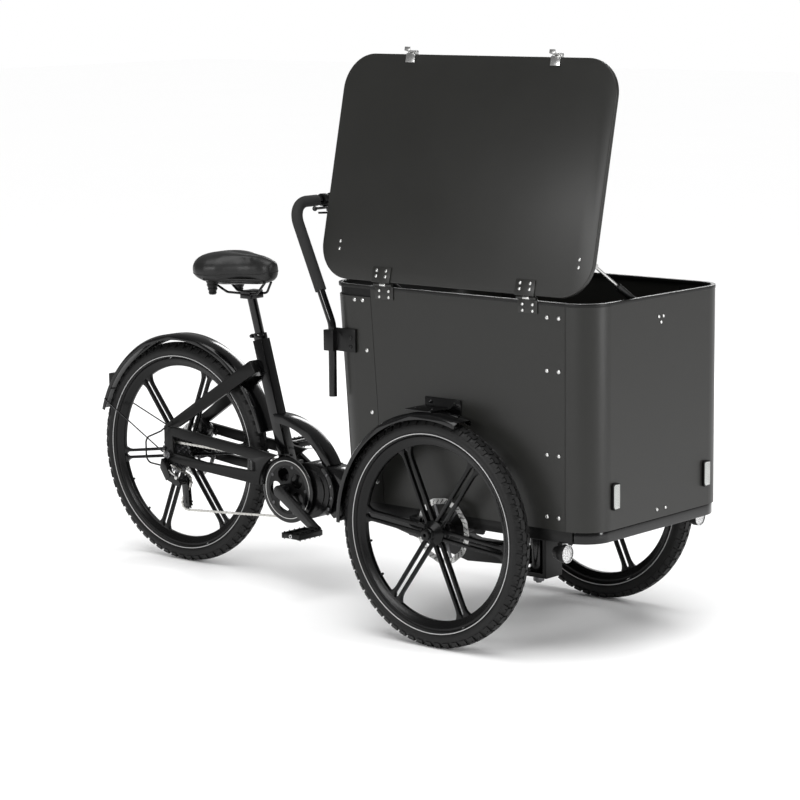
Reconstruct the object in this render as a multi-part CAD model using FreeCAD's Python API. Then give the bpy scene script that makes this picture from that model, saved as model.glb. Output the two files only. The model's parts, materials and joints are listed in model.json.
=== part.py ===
import FreeCAD, Part
import math
import os
from FreeCAD import Vector

# Cargo tricycle: two wheels and a lidded box in front, pedals and motor behind.
# Axes: +X forward, +Y left, +Z up, millimetres. Shapes are drawn from the ground point
# under the front axle, and put() moves them to the middle of the whole length.

# ---- driving dimensions ----
wheel_base = 1267.0
front_track = 729.0
tail_reach = 329.0            # rear axle to the back of the tail light
nose_reach = 466.0            # front axle to the face of the reflectors
front_tyre_r = 303.0
rear_tyre_r = 329.0
tyre_width = 50.0
tyre_height = 46.0            # tread to bead
tyre_wall = 5.0
bead_gap = 0.3
rim_depth = 25.0
rim_width = 30.0
spoke_count = 6
spoke_thick = 14.0
spoke_width = 34.0
slot_width = 9.0
front_spoke_lead = -5.5       # degrees, first spoke above forward
rear_spoke_lead = 8.0
hub_r = 34.0
front_hub_length = 64.0
rear_hub_length = 70.0
front_axle_r = 8.5
rear_axle_r = 6.0
running_gap = 0.05            # radial gap of every turning fit
side_gap = 0.5                # end gap between a turning part and its neighbour
rotor_r = 88.0
rotor_thick = 2.0

box_width = 600.0
box_front_x = 457.0
box_rear_x = -424.0           # rear wall at the rim
box_bottom_z = 343.0
box_top_z = 922.0
box_corner_r = 82.0
wall_lean = 4.2               # degrees, rear wall, foot forward
panel = 5.0
front_seam_x = 374.0
rear_seam_x = -268.0          # at the top of the rear plate
rear_plate_top_z = 893.0
seam_strip = 66.0             # width of the strip behind each seam
strip_thick = 3.0
trim_height = 9.0
trim_lap = 2.0
floor_thick = 9.0
deck_rise = 0.8               # raised middle of the floor, inside the corner strips

lid_length = 898.0
lid_lap = 2.0                 # the lid stands out past the box on each side
lid_thick = 14.0
lid_corner_r = 96.0
lid_centre_x = 9.5
lid_open = 77.3               # degrees from shut
hinge_drop = 3.0              # lid underside below the hinge axis
hinge_r = 5.0
hinge_pin_r = 2.0
hinge_xs = (-219.0, 258.0)
hinge_length = 62.0
hinge_leaf = 2.5
leaf_reach = 38.0
latch_width = 30.0

strut_foot_y = 2.0
strut_foot_z = 858.0
strut_lid_s = 95.0            # hinge axis to the upper stud, along the lid
strut_lid_drop = 26.0         # upper stud under the lid
ear_half = 16.0               # half width of the ear that holds a stud
strut_tube_r = 9.0
strut_rod_r = 4.0
strut_wall_gap = 14.0         # strut axis to the end wall

steer_x = 60.0
head_low_z = 150.0
head_high_z = 240.0
head_r = 23.0
king_r = 8.0
yoke_thick = 12.0
yoke_half = 35.0

rail_size = 30.0
rail_in = 17.0                # rail centre inside the box side
rail_rear_x = -380.0
rail_front_x = 395.0
axle_tube_r = 20.0
cross_xs = (-335.0, 25.0, 86.0, 330.0)
bumper_drop = 0.2             # ends of the bumper above and below the rails
bumper_thick = 6.0
bumper_inset = 4.0
bumper_back_x = 300.0
lamp_x = 375.0
lamp_in = 4.0                 # lamp centre inside the box side
lamp_z = 286.0
lamp_r = 23.5

mudguard_half = 32.0
front_guard_r = 316.0
guard_thick = 2.5
guard_lip = 15.0
rear_guard_r = 347.0
rear_guard_x = 8.0            # guard centre ahead of the rear axle
rear_guard_z = 6.0

crank_x = -800.0
crank_z = 276.0
crank_length = 170.0
crank_angle = -34.0           # right crank below forward
crank_offset = 94.0
crank_thick = 13.0
spindle_r = 8.5
chain_teeth = 40
chain_pitch = 12.7
chain_y = -52.4
chain_width = 5.6
chain_height = 8.0
guard_ring_r = 97.0
pedal_length = 98.0
pedal_width = 68.0
pedal_thick = 22.0
pedal_pin_r = 4.5
cog_teeth = (11, 13, 16, 18, 21, 24, 28)
cog_pitch = 4.4
cog_thick = 1.8
drive_cog = 3

motor_x = -737.0
motor_z = 278.0
motor_r = 80.0
motor_half = 43.0

seat_angle = 15.9             # degrees back from upright
seat_foot_x = -851.0
seat_foot_z = 341.0
seat_tube_length = 365.0
seat_tube_x = 33.0
seat_tube_y = 37.0
frame_wall = 3.0
seat_wall = 2.0
post_r = 14.0
post_length = 330.0
post_in = 205.0
stay_y = 65.0
stay_thick = 14.0
arch_x = -880.0
arch_z = 242.0
arch_r = 241.0
arch_depth = 26.0
arch_width = 48.0
neck_half = 32.0

bar_x = -400.0
bar_out = 6.0                 # bar foot outside the box side
bar_r = 11.0
bar_foot_z = 617.0
bar_bend_z = 812.0
bar_top_x = -541.0
bar_top_z = 1130.0
bar_bend_r = 60.0
grip_r = 15.5
grip_end_y = 205.0
clamp_low_z = 742.0
clamp_high_z = 812.0

saddle_x = -1012.0
saddle_top_z = 937.0
saddle_length = 258.0
saddle_width = 226.0

front_axle_x = (wheel_base + tail_reach - nose_reach) / 2
half_track = front_track / 2
half_box = box_width / 2
lid_width = box_width + 2 * lid_lap
rail_y = half_box - rail_in
lamp_y = half_box - lamp_in
bar_y = half_box + bar_out
lean = math.tan(math.radians(wall_lean))
hinge_y = -half_box - hinge_r - 1.0
hinge_z = box_top_z + trim_lap + hinge_r + 2.0
chain_r = chain_pitch / 2 / math.sin(math.pi / chain_teeth)
rear_axle_x = -wheel_base

os.makedirs("parts", exist_ok=True)
total = []


def put(name, *solids):
    shape = solids[0] if len(solids) == 1 else Part.Compound(list(solids))
    shape = shape.copy()
    shape.translate(Vector(front_axle_x, 0, 0))
    shape.exportStep("parts/" + name + ".step")
    total.append((name, len(shape.Solids), shape))


def block(x0, x1, y0, y1, z0, z1):
    corner = Vector(min(x0, x1), min(y0, y1), min(z0, z1))
    return Part.makeBox(abs(x1 - x0), abs(y1 - y0), abs(z1 - z0), corner)


def rod(x, y, z, axis, r, length):
    return Part.makeCylinder(r, length, Vector(x, y, z), Vector(*axis))


def rod_y(x, z, r, y0, y1):
    return rod(x, min(y0, y1), z, (0, 1, 0), r, abs(y1 - y0))


def rod_x(y, z, r, x0, x1):
    return rod(min(x0, x1), y, z, (1, 0, 0), r, abs(x1 - x0))


def rod_z(x, y, r, z0, z1):
    return rod(x, y, min(z0, z1), (0, 0, 1), r, abs(z1 - z0))


def between(a, b, r):
    way = b.sub(a)
    return Part.makeCylinder(r, way.Length, a, way)


def plate_y(points, y0, y1):
    wire = Part.makePolygon([Vector(x, y0, z) for x, z in points + points[:1]])
    return Part.Face(wire).extrude(Vector(0, y1 - y0, 0))


def plate_z(points, z0, z1):
    wire = Part.makePolygon([Vector(x, y, z0) for x, y in points + points[:1]])
    return Part.Face(wire).extrude(Vector(0, 0, z1 - z0))


def mirror(shape):
    return shape.mirror(Vector(0, 0, 0), Vector(0, 1, 0))


def fuse(first, *others):
    for other in others:
        first = first.fuse(other)
    return first.removeSplitter()


def cut(first, *others):
    for other in others:
        first = first.cut(other)
    return first


def polar(x, z, r, degrees):
    a = math.radians(degrees)
    return x + r * math.cos(a), z + r * math.sin(a)


def spun(profile, x, y, z, start=0.0, turn=360.0):
    # profile is (offset along the axle, radius); angles run from +X up to +Z
    a = math.radians(start)
    points = [Vector(x + r * math.cos(a), y + w, z + r * math.sin(a)) for w, r in profile]
    face = Part.Face(Part.makePolygon(points + points[:1]))
    return face.revolve(Vector(x, y, z), Vector(0, -1, 0), turn)


def turned(shape, x, z, degrees):
    shape = shape.copy()
    shape.rotate(Vector(x, 0, z), Vector(0, -1, 0), degrees)
    return shape


def round_rect(x0, x1, y0, y1, r, z):
    def arc(cx, cy, a):
        p = [Vector(cx + r * math.cos(math.radians(a + t)), cy + r * math.sin(math.radians(a + t)), z)
             for t in (0, 45, 90)]
        return Part.Arc(*p).toShape()

    corners = [arc(x1 - r, y1 - r, 0), arc(x0 + r, y1 - r, 90),
               arc(x0 + r, y0 + r, 180), arc(x1 - r, y0 + r, 270)]
    edges = []
    for i, edge in enumerate(corners):
        after = corners[(i + 1) % 4]
        line = Part.makeLine(edge.valueAt(edge.LastParameter), after.valueAt(after.FirstParameter))
        edges += [edge, line]
    return Part.Face(Part.Wire(edges))


def slab(inset, z0, z1, top_rear=None):
    # a rounded slab inside the box outline, leaning with the rear wall
    rear = box_rear_x + (box_top_z - z0) * lean + inset
    front = box_front_x - inset
    half = half_box - inset
    face = round_rect(rear, front, -half, half, box_corner_r - inset, z0)
    straight = face.extrude(Vector(0, 0, z1 - z0))
    leaning = face.extrude(Vector(-(z1 - z0) * lean, 0, z1 - z0))
    keep_front = block(0, box_front_x + 50, -400, 400, z0 - 1, z1 + 1)
    keep_rear = block(box_rear_x - 50, 0, -400, 400, z0 - 1, z1 + 1)
    return fuse(straight.common(keep_front), leaning.common(keep_rear))


def bent_tube(points, radius, bend):
    # a round bar along straight runs joined by tangent arcs
    edges = []
    here = points[0]
    for i in range(1, len(points) - 1):
        back = points[i - 1].sub(points[i]).normalize()
        ahead = points[i + 1].sub(points[i]).normalize()
        half = back.getAngle(ahead) / 2
        step = bend / math.tan(half)
        enter = points[i].add(back * step)
        leave = points[i].add(ahead * step)
        middle = back.add(ahead).normalize()
        centre = points[i].add(middle * (bend / math.sin(half)))
        edges.append(Part.LineSegment(here, enter).toShape())
        edges.append(Part.Arc(enter, centre.sub(middle * bend), leave).toShape())
        here = leave
    edges.append(Part.LineSegment(here, points[-1]).toShape())
    wire = Part.Wire(edges)
    start = points[1].sub(points[0])
    ring = Part.Wire(Part.makeCircle(radius, points[0], start))
    return wire.makePipeShell([ring], True, False)


# ---- wheels ----
def tyre(x, y, r):
    w, bead = tyre_width / 2, r - tyre_height
    outer = [(-rim_width / 2 + 1, bead), (-w, bead + 17), (-w, r - 19), (-w + 5, r - 7), (-w + 12, r - 1.5),
             (-5, r), (5, r), (w - 12, r - 1.5), (w - 5, r - 7), (w, r - 19), (w, bead + 17),
             (rim_width / 2 - 1, bead)]
    t = tyre_wall
    inner = [(rim_width / 2 - 1 - t, bead), (w - t, bead + 18), (w - t, r - 20), (w - 15, r - t - 3),
             (-w + 15, r - t - 3), (-w + t, r - 20), (-w + t, bead + 18), (-rim_width / 2 + 1 + t, bead)]
    return spun(outer + inner, x, y, r)


def mag_wheel(x, y, r, hub_length, axle_r, lead):
    seat = r - tyre_height - bead_gap
    low = seat - rim_depth
    w = rim_width / 2
    ring = spun([(-w, seat), (w, seat), (w, seat - 8), (8, low), (-8, low), (-w, seat - 8)], x, y, r)
    hub = rod_y(x, r, hub_r, y - hub_length / 2, y + hub_length / 2)
    half, tip = spoke_width / 2, low + 4
    spoke = plate_y([(x + 10, r - half), (x + low * 0.86, r - half), (x + tip, r - half - 9),
                     (x + tip, r + half + 9), (x + low * 0.86, r + half), (x + 10, r + half)],
                    y - spoke_thick / 2, y + spoke_thick / 2)
    slot = block(x + hub_r + 22, x + low - 26, y - 20, y + 20, r - slot_width / 2, r + slot_width / 2)
    spoke = cut(spoke, slot)
    body = fuse(ring, hub)
    for i in range(spoke_count):
        body = body.fuse(turned(spoke, x, r, lead + i * 360.0 / spoke_count))
    body = body.removeSplitter()
    return cut(body, rod_y(x, r, axle_r + running_gap, y - 100, y + 100))


def rotor(x, y, z, r, bore):
    disc = spun([(0, r - 24), (0, r), (rotor_thick, r), (rotor_thick, r - 24)], x, y, z)
    boss = spun([(0, bore), (0, 30), (rotor_thick, 30), (rotor_thick, bore)], x, y, z)
    arm = block(x + 26, x + r - 22, y, y + rotor_thick, z - 6, z + 6)
    for i in range(6):
        disc = disc.fuse(turned(arm, x, z, 60 * i + 20))
    return disc.fuse(boss).removeSplitter()


front_rotor_y = half_track - front_hub_length / 2 - rotor_thick - 0.3
rear_rotor_y = rear_hub_length / 2 + 6.0
for side, name in ((-1, "right"), (1, "left")):
    y = side * half_track
    put("front_tyre_" + name, tyre(0, y, front_tyre_r))
    wheel = mag_wheel(0, y, front_tyre_r, front_hub_length, front_axle_r, front_spoke_lead)
    put("front_wheel_" + name, wheel)
    disc = rotor(0, front_rotor_y, front_tyre_r, rotor_r, front_axle_r + 1.0)
    put("front_rotor_" + name, disc if side > 0 else mirror(disc))

put("rear_tyre", tyre(rear_axle_x, 0, rear_tyre_r))
rear_wheel = mag_wheel(rear_axle_x, 0, rear_tyre_r, rear_hub_length, rear_axle_r, rear_spoke_lead)
rotor_seat = spun([(0, rear_axle_r + running_gap), (0, 24), (5.7, 24), (5.7, rear_axle_r + running_gap)],
                  rear_axle_x, rear_hub_length / 2, rear_tyre_r)
put("rear_wheel", fuse(rear_wheel, rotor_seat))
put("rear_rotor", rotor(rear_axle_x, rear_rotor_y, rear_tyre_r, rotor_r - 6, rear_axle_r + 1.0))


# ---- front carrier under the box ----
def square_tube(x0, x1, y0, y1, z0, z1, along):
    outer = block(x0, x1, y0, y1, z0, z1)
    t = frame_wall
    if along == "x":
        return cut(outer, block(x0 - 1, x1 + 1, y0 + t, y1 - t, z0 + t, z1 - t))
    return cut(outer, block(x0 + t, x1 - t, y0 - 1, y1 + 1, z0 + t, z1 - t))


yoke_cheek = 8
gusset_thick = 8
carrier_top = box_bottom_z - 0.3
carrier_low = carrier_top - rail_size
hub_face = half_track - front_hub_length / 2 - rotor_thick - 0.3 - side_gap
stub_end = half_track + front_hub_length / 2 + side_gap


def carrier_tubes():
    # two rails with the cross tubes butted between them
    half = rail_size / 2
    tubes = []
    for side in (-1, 1):
        y = side * rail_y
        tubes.append(square_tube(rail_rear_x, rail_front_x, y - half, y + half,
                                 carrier_low, carrier_top, "x"))
    inner = rail_y - half
    for x in cross_xs:
        tubes.append(square_tube(x - half, x + half, -inner, inner, carrier_low, carrier_top, "y"))
    return tubes


def outer_room(tube):
    # the whole block that a tube fills, its bore included
    room = tube.BoundBox
    return block(room.XMin, room.XMax, room.YMin, room.YMax, room.ZMin, room.ZMax)


def axle_beam(tubes):
    # the axle tube with its stubs and the gussets that hang it from the carrier
    parts = []
    for side in (-1, 1):
        parts.append(rod_y(0, front_tyre_r, axle_tube_r, 0, side * (half_box - 2)))
        parts.append(rod_y(0, front_tyre_r, axle_tube_r - 6, side * 280, side * hub_face))
        parts.append(rod_y(0, front_tyre_r, front_axle_r, side * 300, side * stub_end))
        for top, foot, inside in ((48, 30, 196), (60, 26, 290)):
            gusset = [(-top, carrier_low + 1), (top, carrier_low + 1),
                      (foot, front_tyre_r - 28), (-foot, front_tyre_r - 28)]
            parts.append(plate_y(gusset, side * inside, side * (inside + gusset_thick)))
    return cut(fuse(*parts), *[outer_room(tube) for tube in tubes])


def steering_yoke(tubes, beam):
    # the fork that holds the head of the neck beam, top and bottom
    half = rail_size / 2
    parts = []
    back, front = steer_x - 42, steer_x + 52
    top = head_high_z + 1.0
    low = head_low_z - 1.0
    parts.append(block(back, front, -yoke_half, yoke_half, top, top + yoke_thick))
    parts.append(block(back, front, -yoke_half, yoke_half, low - yoke_thick, low))
    parts.append(block(front - yoke_thick, front, -yoke_half, yoke_half,
                       low - yoke_thick, top + yoke_thick))
    cheek = [(back + 6, top + 5), (front - 2, top + 5), (cross_xs[2] + half, carrier_low + 1),
             (cross_xs[1] - half, carrier_low + 1)]
    for side in (-1, 1):
        parts.append(plate_y(cheek, side * yoke_half, side * (yoke_half - yoke_cheek)))
    yoke = cut(fuse(*parts), rod_z(steer_x, 0, king_r + 0.3, low - 40, top + 40))
    return cut(yoke, beam, *[outer_room(tube) for tube in tubes])


nut_low = head_low_z - 1.0 - yoke_thick
king = rod_z(steer_x, 0, king_r, nut_low - 22, head_high_z + 1 + yoke_thick)
king = fuse(king, rod_z(steer_x, 0, 15, head_high_z + 1 + yoke_thick, head_high_z + 11 + yoke_thick),
            rod_z(steer_x, 0, 15, nut_low - 17, nut_low))
put("king_pin", king)

axle_nuts = []
for side in (-1, 1):
    ring = cut(rod_y(0, front_tyre_r, 13, side * (stub_end + 0.3), side * (stub_end + 9)),
               rod_y(0, front_tyre_r, 5, side * 200, side * 500))
    axle_nuts.append(ring)
tubes = carrier_tubes()
beam = axle_beam(tubes)
put("cradle", *tubes, beam, steering_yoke(tubes, beam), *axle_nuts)


def bumper():
    z0, z1 = carrier_low - bumper_drop, carrier_top - bumper_drop - 0.3
    outer = round_rect(-300, box_front_x - bumper_inset, -half_box + bumper_inset, half_box - bumper_inset,
                       box_corner_r - bumper_inset, z0)
    inset = bumper_inset + bumper_thick
    inner = round_rect(-301, box_front_x - inset, -half_box + inset - 0.01, half_box - inset + 0.01,
                       box_corner_r - inset, z0)
    band = outer.extrude(Vector(0, 0, z1 - z0)).cut(inner.extrude(Vector(0, 0, z1 - z0)))
    return band.common(block(bumper_back_x, box_front_x, -400, 400, z0, z1))


rail = bumper()
rail = cut(rail, block(0, rail_front_x + 0.3, -half_box, half_box, carrier_low - 10, carrier_top + 10))
put("bumper_rail", rail)

# ---- box ----

def seam_x(z):
    return rear_seam_x + (rear_plate_top_z - z) * lean


shell = cut(slab(0, box_bottom_z, box_top_z), slab(panel, box_bottom_z - 1, box_top_z + 1))
seam_gap = 1.2
front_part = block(front_seam_x + seam_gap, box_front_x + 1, -400, 400, 0, 1000)
put("box_front", shell.common(front_part))
plate_low_z = box_bottom_z - 1
behind = plate_y([(box_rear_x - 20, plate_low_z), (seam_x(plate_low_z) - seam_gap, plate_low_z),
                  (seam_x(rear_plate_top_z) - seam_gap, rear_plate_top_z),
                  (box_rear_x - 20, rear_plate_top_z)], -400, 400)
put("box_rear", shell.common(behind))
middle = plate_y([(seam_x(box_bottom_z - 1), box_bottom_z - 1), (front_seam_x, box_bottom_z - 1),
                  (front_seam_x, box_top_z + 1), (seam_x(box_top_z + 1), box_top_z + 1)], -400, 400)
sides = shell.common(middle)
put("box_sides", *sides.Solids)
floor_top = box_bottom_z + floor_thick
floor = fuse(slab(panel + 0.2, box_bottom_z, floor_top - deck_rise),
             slab(panel + strip_thick + 2.0, box_bottom_z, floor_top))
put("box_floor", floor)

strip = cut(slab(panel + 0.1, box_bottom_z + floor_thick + 0.2, box_top_z - 0.3),
            slab(panel + 0.1 + strip_thick, box_bottom_z + floor_thick - 1, box_top_z + 1))
front_strip = block(front_seam_x - seam_strip, front_seam_x + 22, -400, 400, 0, 1000)
rear_strip = plate_y([(seam_x(300) - 30, 300), (seam_x(300) + 30, 300),
                      (seam_x(930) + 30, 930), (seam_x(930) - 30, 930)], -400, 400)
top_band = block(box_rear_x - 20, seam_x(880) - 30, -400, 400, rear_plate_top_z - 40, box_top_z)
strips = [strip.common(front_strip), strip.common(fuse(rear_strip, top_band))]
solids = [s for one in strips for s in one.Solids]
put("box_strips", *solids)


def rim():
    z0, z1 = box_top_z - trim_height + trim_lap, box_top_z + trim_lap
    lip = cut(slab(-1.2, z0, z1), slab(panel + strip_thick + 1.6, z0 - 1, z1 + 1))
    groove = cut(slab(-0.02, z0 - 1, box_top_z + 0.05),
                 slab(panel + strip_thick + 0.12, z0 - 2, box_top_z + 1))
    lip = cut(lip, groove)
    for x in hinge_xs:
        half = hinge_length / 2 + 1
        lip = cut(lip, block(x - half, x + half, -half_box - 3, -half_box - 0.02, z0 - 1, z1 + 1))
    return lip


put("box_rim", rim())


def button(x, y, z, axis, r=5.5, height=3.0):
    head = rod(x, y, z, axis, r, height * 0.55)
    top = Part.makeCone(r, r * 0.55, height * 0.45, Vector(x, y, z).add(Vector(*axis) * (height * 0.55)),
                        Vector(*axis))
    return fuse(head, top)


front_bolt_xs = (318.0, 355.0)
bolt_zs = (885.0, 750.0, 535.0, 376.0)
rear_bolts = ((-296.0, 884.0), (-324.0, 884.0), (-282.0, 751.0), (-266.0, 586.0), (-250.0, 400.0))


def box_bolts():
    heads = []
    for side in (-1, 1):
        y = side * (half_box + 0.1)
        axis = (0, side, 0)
        for x in front_bolt_xs:
            heads += [button(x, y, z, axis) for z in bolt_zs]
        heads += [button(x, y, z, axis) for x, z in rear_bolts]
    for y, z in ((-12, 868), (8, 868), (-2, 853), (-16, 366), (22, 366)):
        heads.append(button(box_front_x + 0.1, y, z, (1, 0, 0), 4.5, 2.5))
    return heads




# ---- lid, drawn shut, then opened about the hinge ----
def open_lid(shape):
    shape = shape.copy()
    shape.rotate(Vector(0, hinge_y, hinge_z), Vector(1, 0, 0), lid_open)
    return shape


lid_low = hinge_z - hinge_drop
lid_top = lid_low + lid_thick
lid_near = hinge_y + hinge_r + 1.2
lid_far = lid_near + lid_width
lid_rear = lid_centre_x - lid_length / 2
lid_face = round_rect(lid_rear, lid_rear + lid_length, lid_near, lid_far, lid_corner_r, lid_low)
lid = lid_face.extrude(Vector(0, 0, lid_thick))
put("lid", open_lid(lid))

knuckle = hinge_length / 3
lid_fittings = []
box_fittings = []
for x in hinge_xs:
    low = x - hinge_length / 2
    y_in = lid_near - 0.1
    high = low + hinge_length
    leaf = fuse(block(low, high, y_in - hinge_leaf, y_in, hinge_z + hinge_r + 0.5, lid_top + 0.1),
                block(low, high, y_in - hinge_leaf, y_in + leaf_reach,
                      lid_top + 0.1, lid_top + 0.1 + hinge_leaf))
    middle_x = low + knuckle + 0.3
    eye = rod_x(hinge_y, hinge_z, hinge_r, middle_x, low + 2 * knuckle - 0.3)
    tab = block(middle_x, low + 2 * knuckle - 0.3, y_in - hinge_leaf, y_in,
                hinge_z, hinge_z + hinge_r + 1)
    leaf = fuse(leaf, eye, tab)
    leaf = cut(leaf, rod_x(hinge_y, hinge_z, hinge_pin_r + running_gap, low - 5, low + hinge_length + 5))
    lid_fittings.append(open_lid(leaf))
    for dx in (-16, 16):
        for dy in (14, 29):
            head = button(x + dx, lid_near + dy, lid_top + 0.1 + hinge_leaf, (0, 0, 1), 4.2, 2.4)
            lid_fittings.append(open_lid(head))
    y_out = -half_box - 0.2
    plate = block(low, high, y_out - hinge_leaf, y_out, hinge_z - leaf_reach - 2, hinge_z - hinge_r + 1)
    plate = cut(plate, rod_x(hinge_y, hinge_z, hinge_r + 0.5, low + knuckle, low + 2 * knuckle))
    for a, b in ((low, low + knuckle), (low + 2 * knuckle, low + hinge_length)):
        plate = fuse(plate, rod_x(hinge_y, hinge_z, hinge_r, a, b))
    plate = fuse(plate, rod_x(hinge_y, hinge_z, hinge_pin_r, low, low + hinge_length))
    box_fittings.append(plate)
    for dx in (-16, 16):
        for dz in (-17, -33):
            box_fittings.append(button(x + dx, y_out - hinge_leaf, hinge_z + dz, (0, -1, 0), 4.2, 2.4))

# toggle latches on the free edge, keepers on the box below it
latch_y = lid_far + 7.0
latch_z = lid_low + lid_thick / 2
for i, x in enumerate(hinge_xs):
    half = latch_width / 2
    base = fuse(block(x - half, x + half, lid_far - 22, lid_far + 2.2, lid_top + 0.1, lid_top + 2.1),
                block(x - half, x + half, lid_far + 0.2, lid_far + 2.2, lid_low + 1, lid_top + 2.1),
                rod_x(latch_y, latch_z, 4.6, x - half, x - half + 6),
                rod_x(latch_y, latch_z, 4.6, x + half - 6, x + half),
                block(x - half, x - half + 6, lid_far + 1, latch_y, latch_z - 4, latch_z + 4),
                block(x + half - 6, x + half, lid_far + 1, latch_y, latch_z - 4, latch_z + 4))
    base = fuse(base, rod_x(latch_y, latch_z, 2.0, x - half, x + half))
    lid_fittings.append(open_lid(base))
    inner = half - 6.5
    swing = fuse(rod_x(latch_y, latch_z, 4.4, x - inner, x + inner),
                 block(x - inner, x + inner, latch_y - 1.5, latch_y + 1.5, latch_z + 2, latch_z + 26),
                 block(x - inner, x + inner, latch_y - 1.5, latch_y + 9, latch_z + 24, latch_z + 27))
    swing = cut(swing, rod_x(latch_y, latch_z, 2.0 + running_gap, x - 30, x + 30))
    put("latch_" + ("rear", "front")[i], open_lid(swing))
    y = half_box + 0.2
    keeper = fuse(block(x - 17, x + 17, y, y + 1.4, hinge_z - 48, hinge_z - 16.5),
                  block(x - 12, x + 12, y, y + 8, hinge_z - 18.7, hinge_z - 16.5))
    box_fittings.append(keeper)


# ---- gas struts, one at each end wall ----
front_wall_x = box_front_x - panel - strip_thick
rear_wall_x = box_rear_x + panel + strip_thick + (box_top_z - strut_foot_z) * lean
strut_xs = (rear_wall_x + strut_wall_gap, front_wall_x - strut_wall_gap)
foot = Vector(0, strut_foot_y, strut_foot_z)
stud_shut = Vector(0, hinge_y + strut_lid_s, lid_low - strut_lid_drop)
arm_y, arm_z = stud_shut.y - hinge_y, stud_shut.z - hinge_z
turn_c, turn_s = math.cos(math.radians(lid_open)), math.sin(math.radians(lid_open))
stud_open = Vector(0, hinge_y + arm_y * turn_c - arm_z * turn_s, hinge_z + arm_y * turn_s + arm_z * turn_c)
strut_open = stud_open.sub(foot).Length
strut_shut = stud_shut.sub(foot).Length
tube_length = strut_shut - 34.0
tubes = []
rods = []
for i, x in enumerate(strut_xs):
    way = stud_open.sub(foot).normalize()
    at = Vector(x, 0, 0)
    start = at.add(foot)
    outer = Part.makeCylinder(strut_tube_r, tube_length, start.add(way * 12), way)
    bore = Part.makeCylinder(strut_rod_r + running_gap, tube_length - 3, start.add(way * 15.1), way)
    neck = Part.makeCylinder(5, 14, start, way)
    ball_end = rod_x(foot.y, foot.z, 7, x - 4, x + 4)
    tubes.append(cut(fuse(outer, neck, ball_end), bore,
                     rod_x(foot.y, foot.z, 3 + running_gap, x - 20, x + 20)))
    tip = at.add(stud_open)
    rod_body = Part.makeCylinder(strut_rod_r, strut_shut - 22, tip.sub(way * (strut_shut - 22)), way)
    rods.append(fuse(rod_body, rod_x(stud_open.y, stud_open.z, 7, x - 5, x + 5)))
    wall = rear_wall_x if i == 0 else front_wall_x
    to_wall = -1 if i == 0 else 1
    box_fittings.append(fuse(rod_x(foot.y, foot.z, 3, x - to_wall * 6, wall - to_wall * 3),
                             rod_x(foot.y, foot.z, 11, wall - to_wall * 3.5, wall - to_wall * 0.6)))
    tab_x = x - to_wall * 7
    ear_low = stud_shut.y - ear_half
    ear_high = stud_shut.y + ear_half
    ear = fuse(block(tab_x, tab_x - to_wall * 3, ear_low, ear_high,
                     lid_low - strut_lid_drop - 8, lid_low - 0.1),
               block(tab_x, tab_x - to_wall * 24, ear_low, ear_high, lid_low - 2.6, lid_low - 0.1))
    lid_fittings.append(open_lid(ear))
    for dy in (-10, 10):
        head = button(tab_x - to_wall * 13, stud_shut.y + dy, lid_top + 0.1, (0, 0, 1), 4.2, 2.4)
        lid_fittings.append(open_lid(head))
put("strut_tubes", *tubes)
put("strut_rods", *rods)
put("lid_fittings", *lid_fittings)
put("box_fittings", *box_fittings, *box_bolts())


# ---- lamps, reflectors, mudguards, brakes on the front carrier ----
lamps = []
for side in (-1, 1):
    y = side * lamp_y
    shell_ = fuse(rod_x(y, lamp_z, lamp_r, lamp_x - 12, lamp_x + 6),
                  Part.makeCone(lamp_r - 9, lamp_r, 22, Vector(lamp_x - 34, y, lamp_z), Vector(1, 0, 0)))
    shell_ = cut(shell_, rod_x(y, lamp_z, lamp_r - 2.5, lamp_x - 2, lamp_x + 10))
    lens = rod_x(y, lamp_z, lamp_r - 2.7, lamp_x + 0.5, lamp_x + 4.5)
    arm = block(lamp_x - 22, lamp_x - 6, y - 7, y + 7, lamp_z + lamp_r - 7, carrier_low - 0.2)
    lamps += [fuse(shell_, arm), lens]
put("headlights", *lamps)

reflectors = []
for side in (-1, 1):
    y, z, w, h, c = side * 192.0, 429.0, 27.0, 40.0, 9.0
    outline = [(y - w + c, z - h), (y + w - c, z - h), (y + w, z - h + c), (y + w, z + h - c),
               (y + w - c, z + h), (y - w + c, z + h), (y - w, z + h - c), (y - w, z - h + c)]
    wire = Part.makePolygon([Vector(box_front_x + 0.2, a, b) for a, b in outline + outline[:1]])
    reflectors.append(Part.Face(wire).extrude(Vector(9, 0, 0)))
put("front_reflectors", *reflectors)


def mudguard(x, y, z, r, start, turn):
    half, t = mudguard_half, guard_thick
    profile = [(-half, r - guard_lip), (-half, r - 5), (-half + 9, r), (half - 9, r), (half, r - 5),
               (half, r - guard_lip), (half + t, r - guard_lip), (half + t, r - 4), (half - 8, r + t),
               (-half + 8, r + t), (-half - t, r - 4), (-half - t, r - guard_lip)]
    return spun(profile, x, y, z, start, turn)


guards = []
for side in (-1, 1):
    y = side * half_track
    guard = mudguard(0, y, front_tyre_r, front_guard_r, 72, 109)
    top = front_tyre_r + front_guard_r + guard_thick
    inner, outer = side * (half_box + 0.4), side * (half_track + 20)
    plate = fuse(block(-80, 6, inner, outer, top + 0.2, top + 4.2),
                 block(-80, 40, inner, inner + side * 4, top - 14, top + 26))
    guards += [guard, plate]
    for x in (-66.0, -10.0):
        guards.append(button(x, y - side * 6, top + 4.2, (0, 0, 1), 5.0, 3.0))
    for x in (-60.0, 20.0):
        guards.append(button(x, inner + side * 4, top + 15, (0, side, 0), 5.0, 3.0))
put("front_mudguards", *guards)


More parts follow.
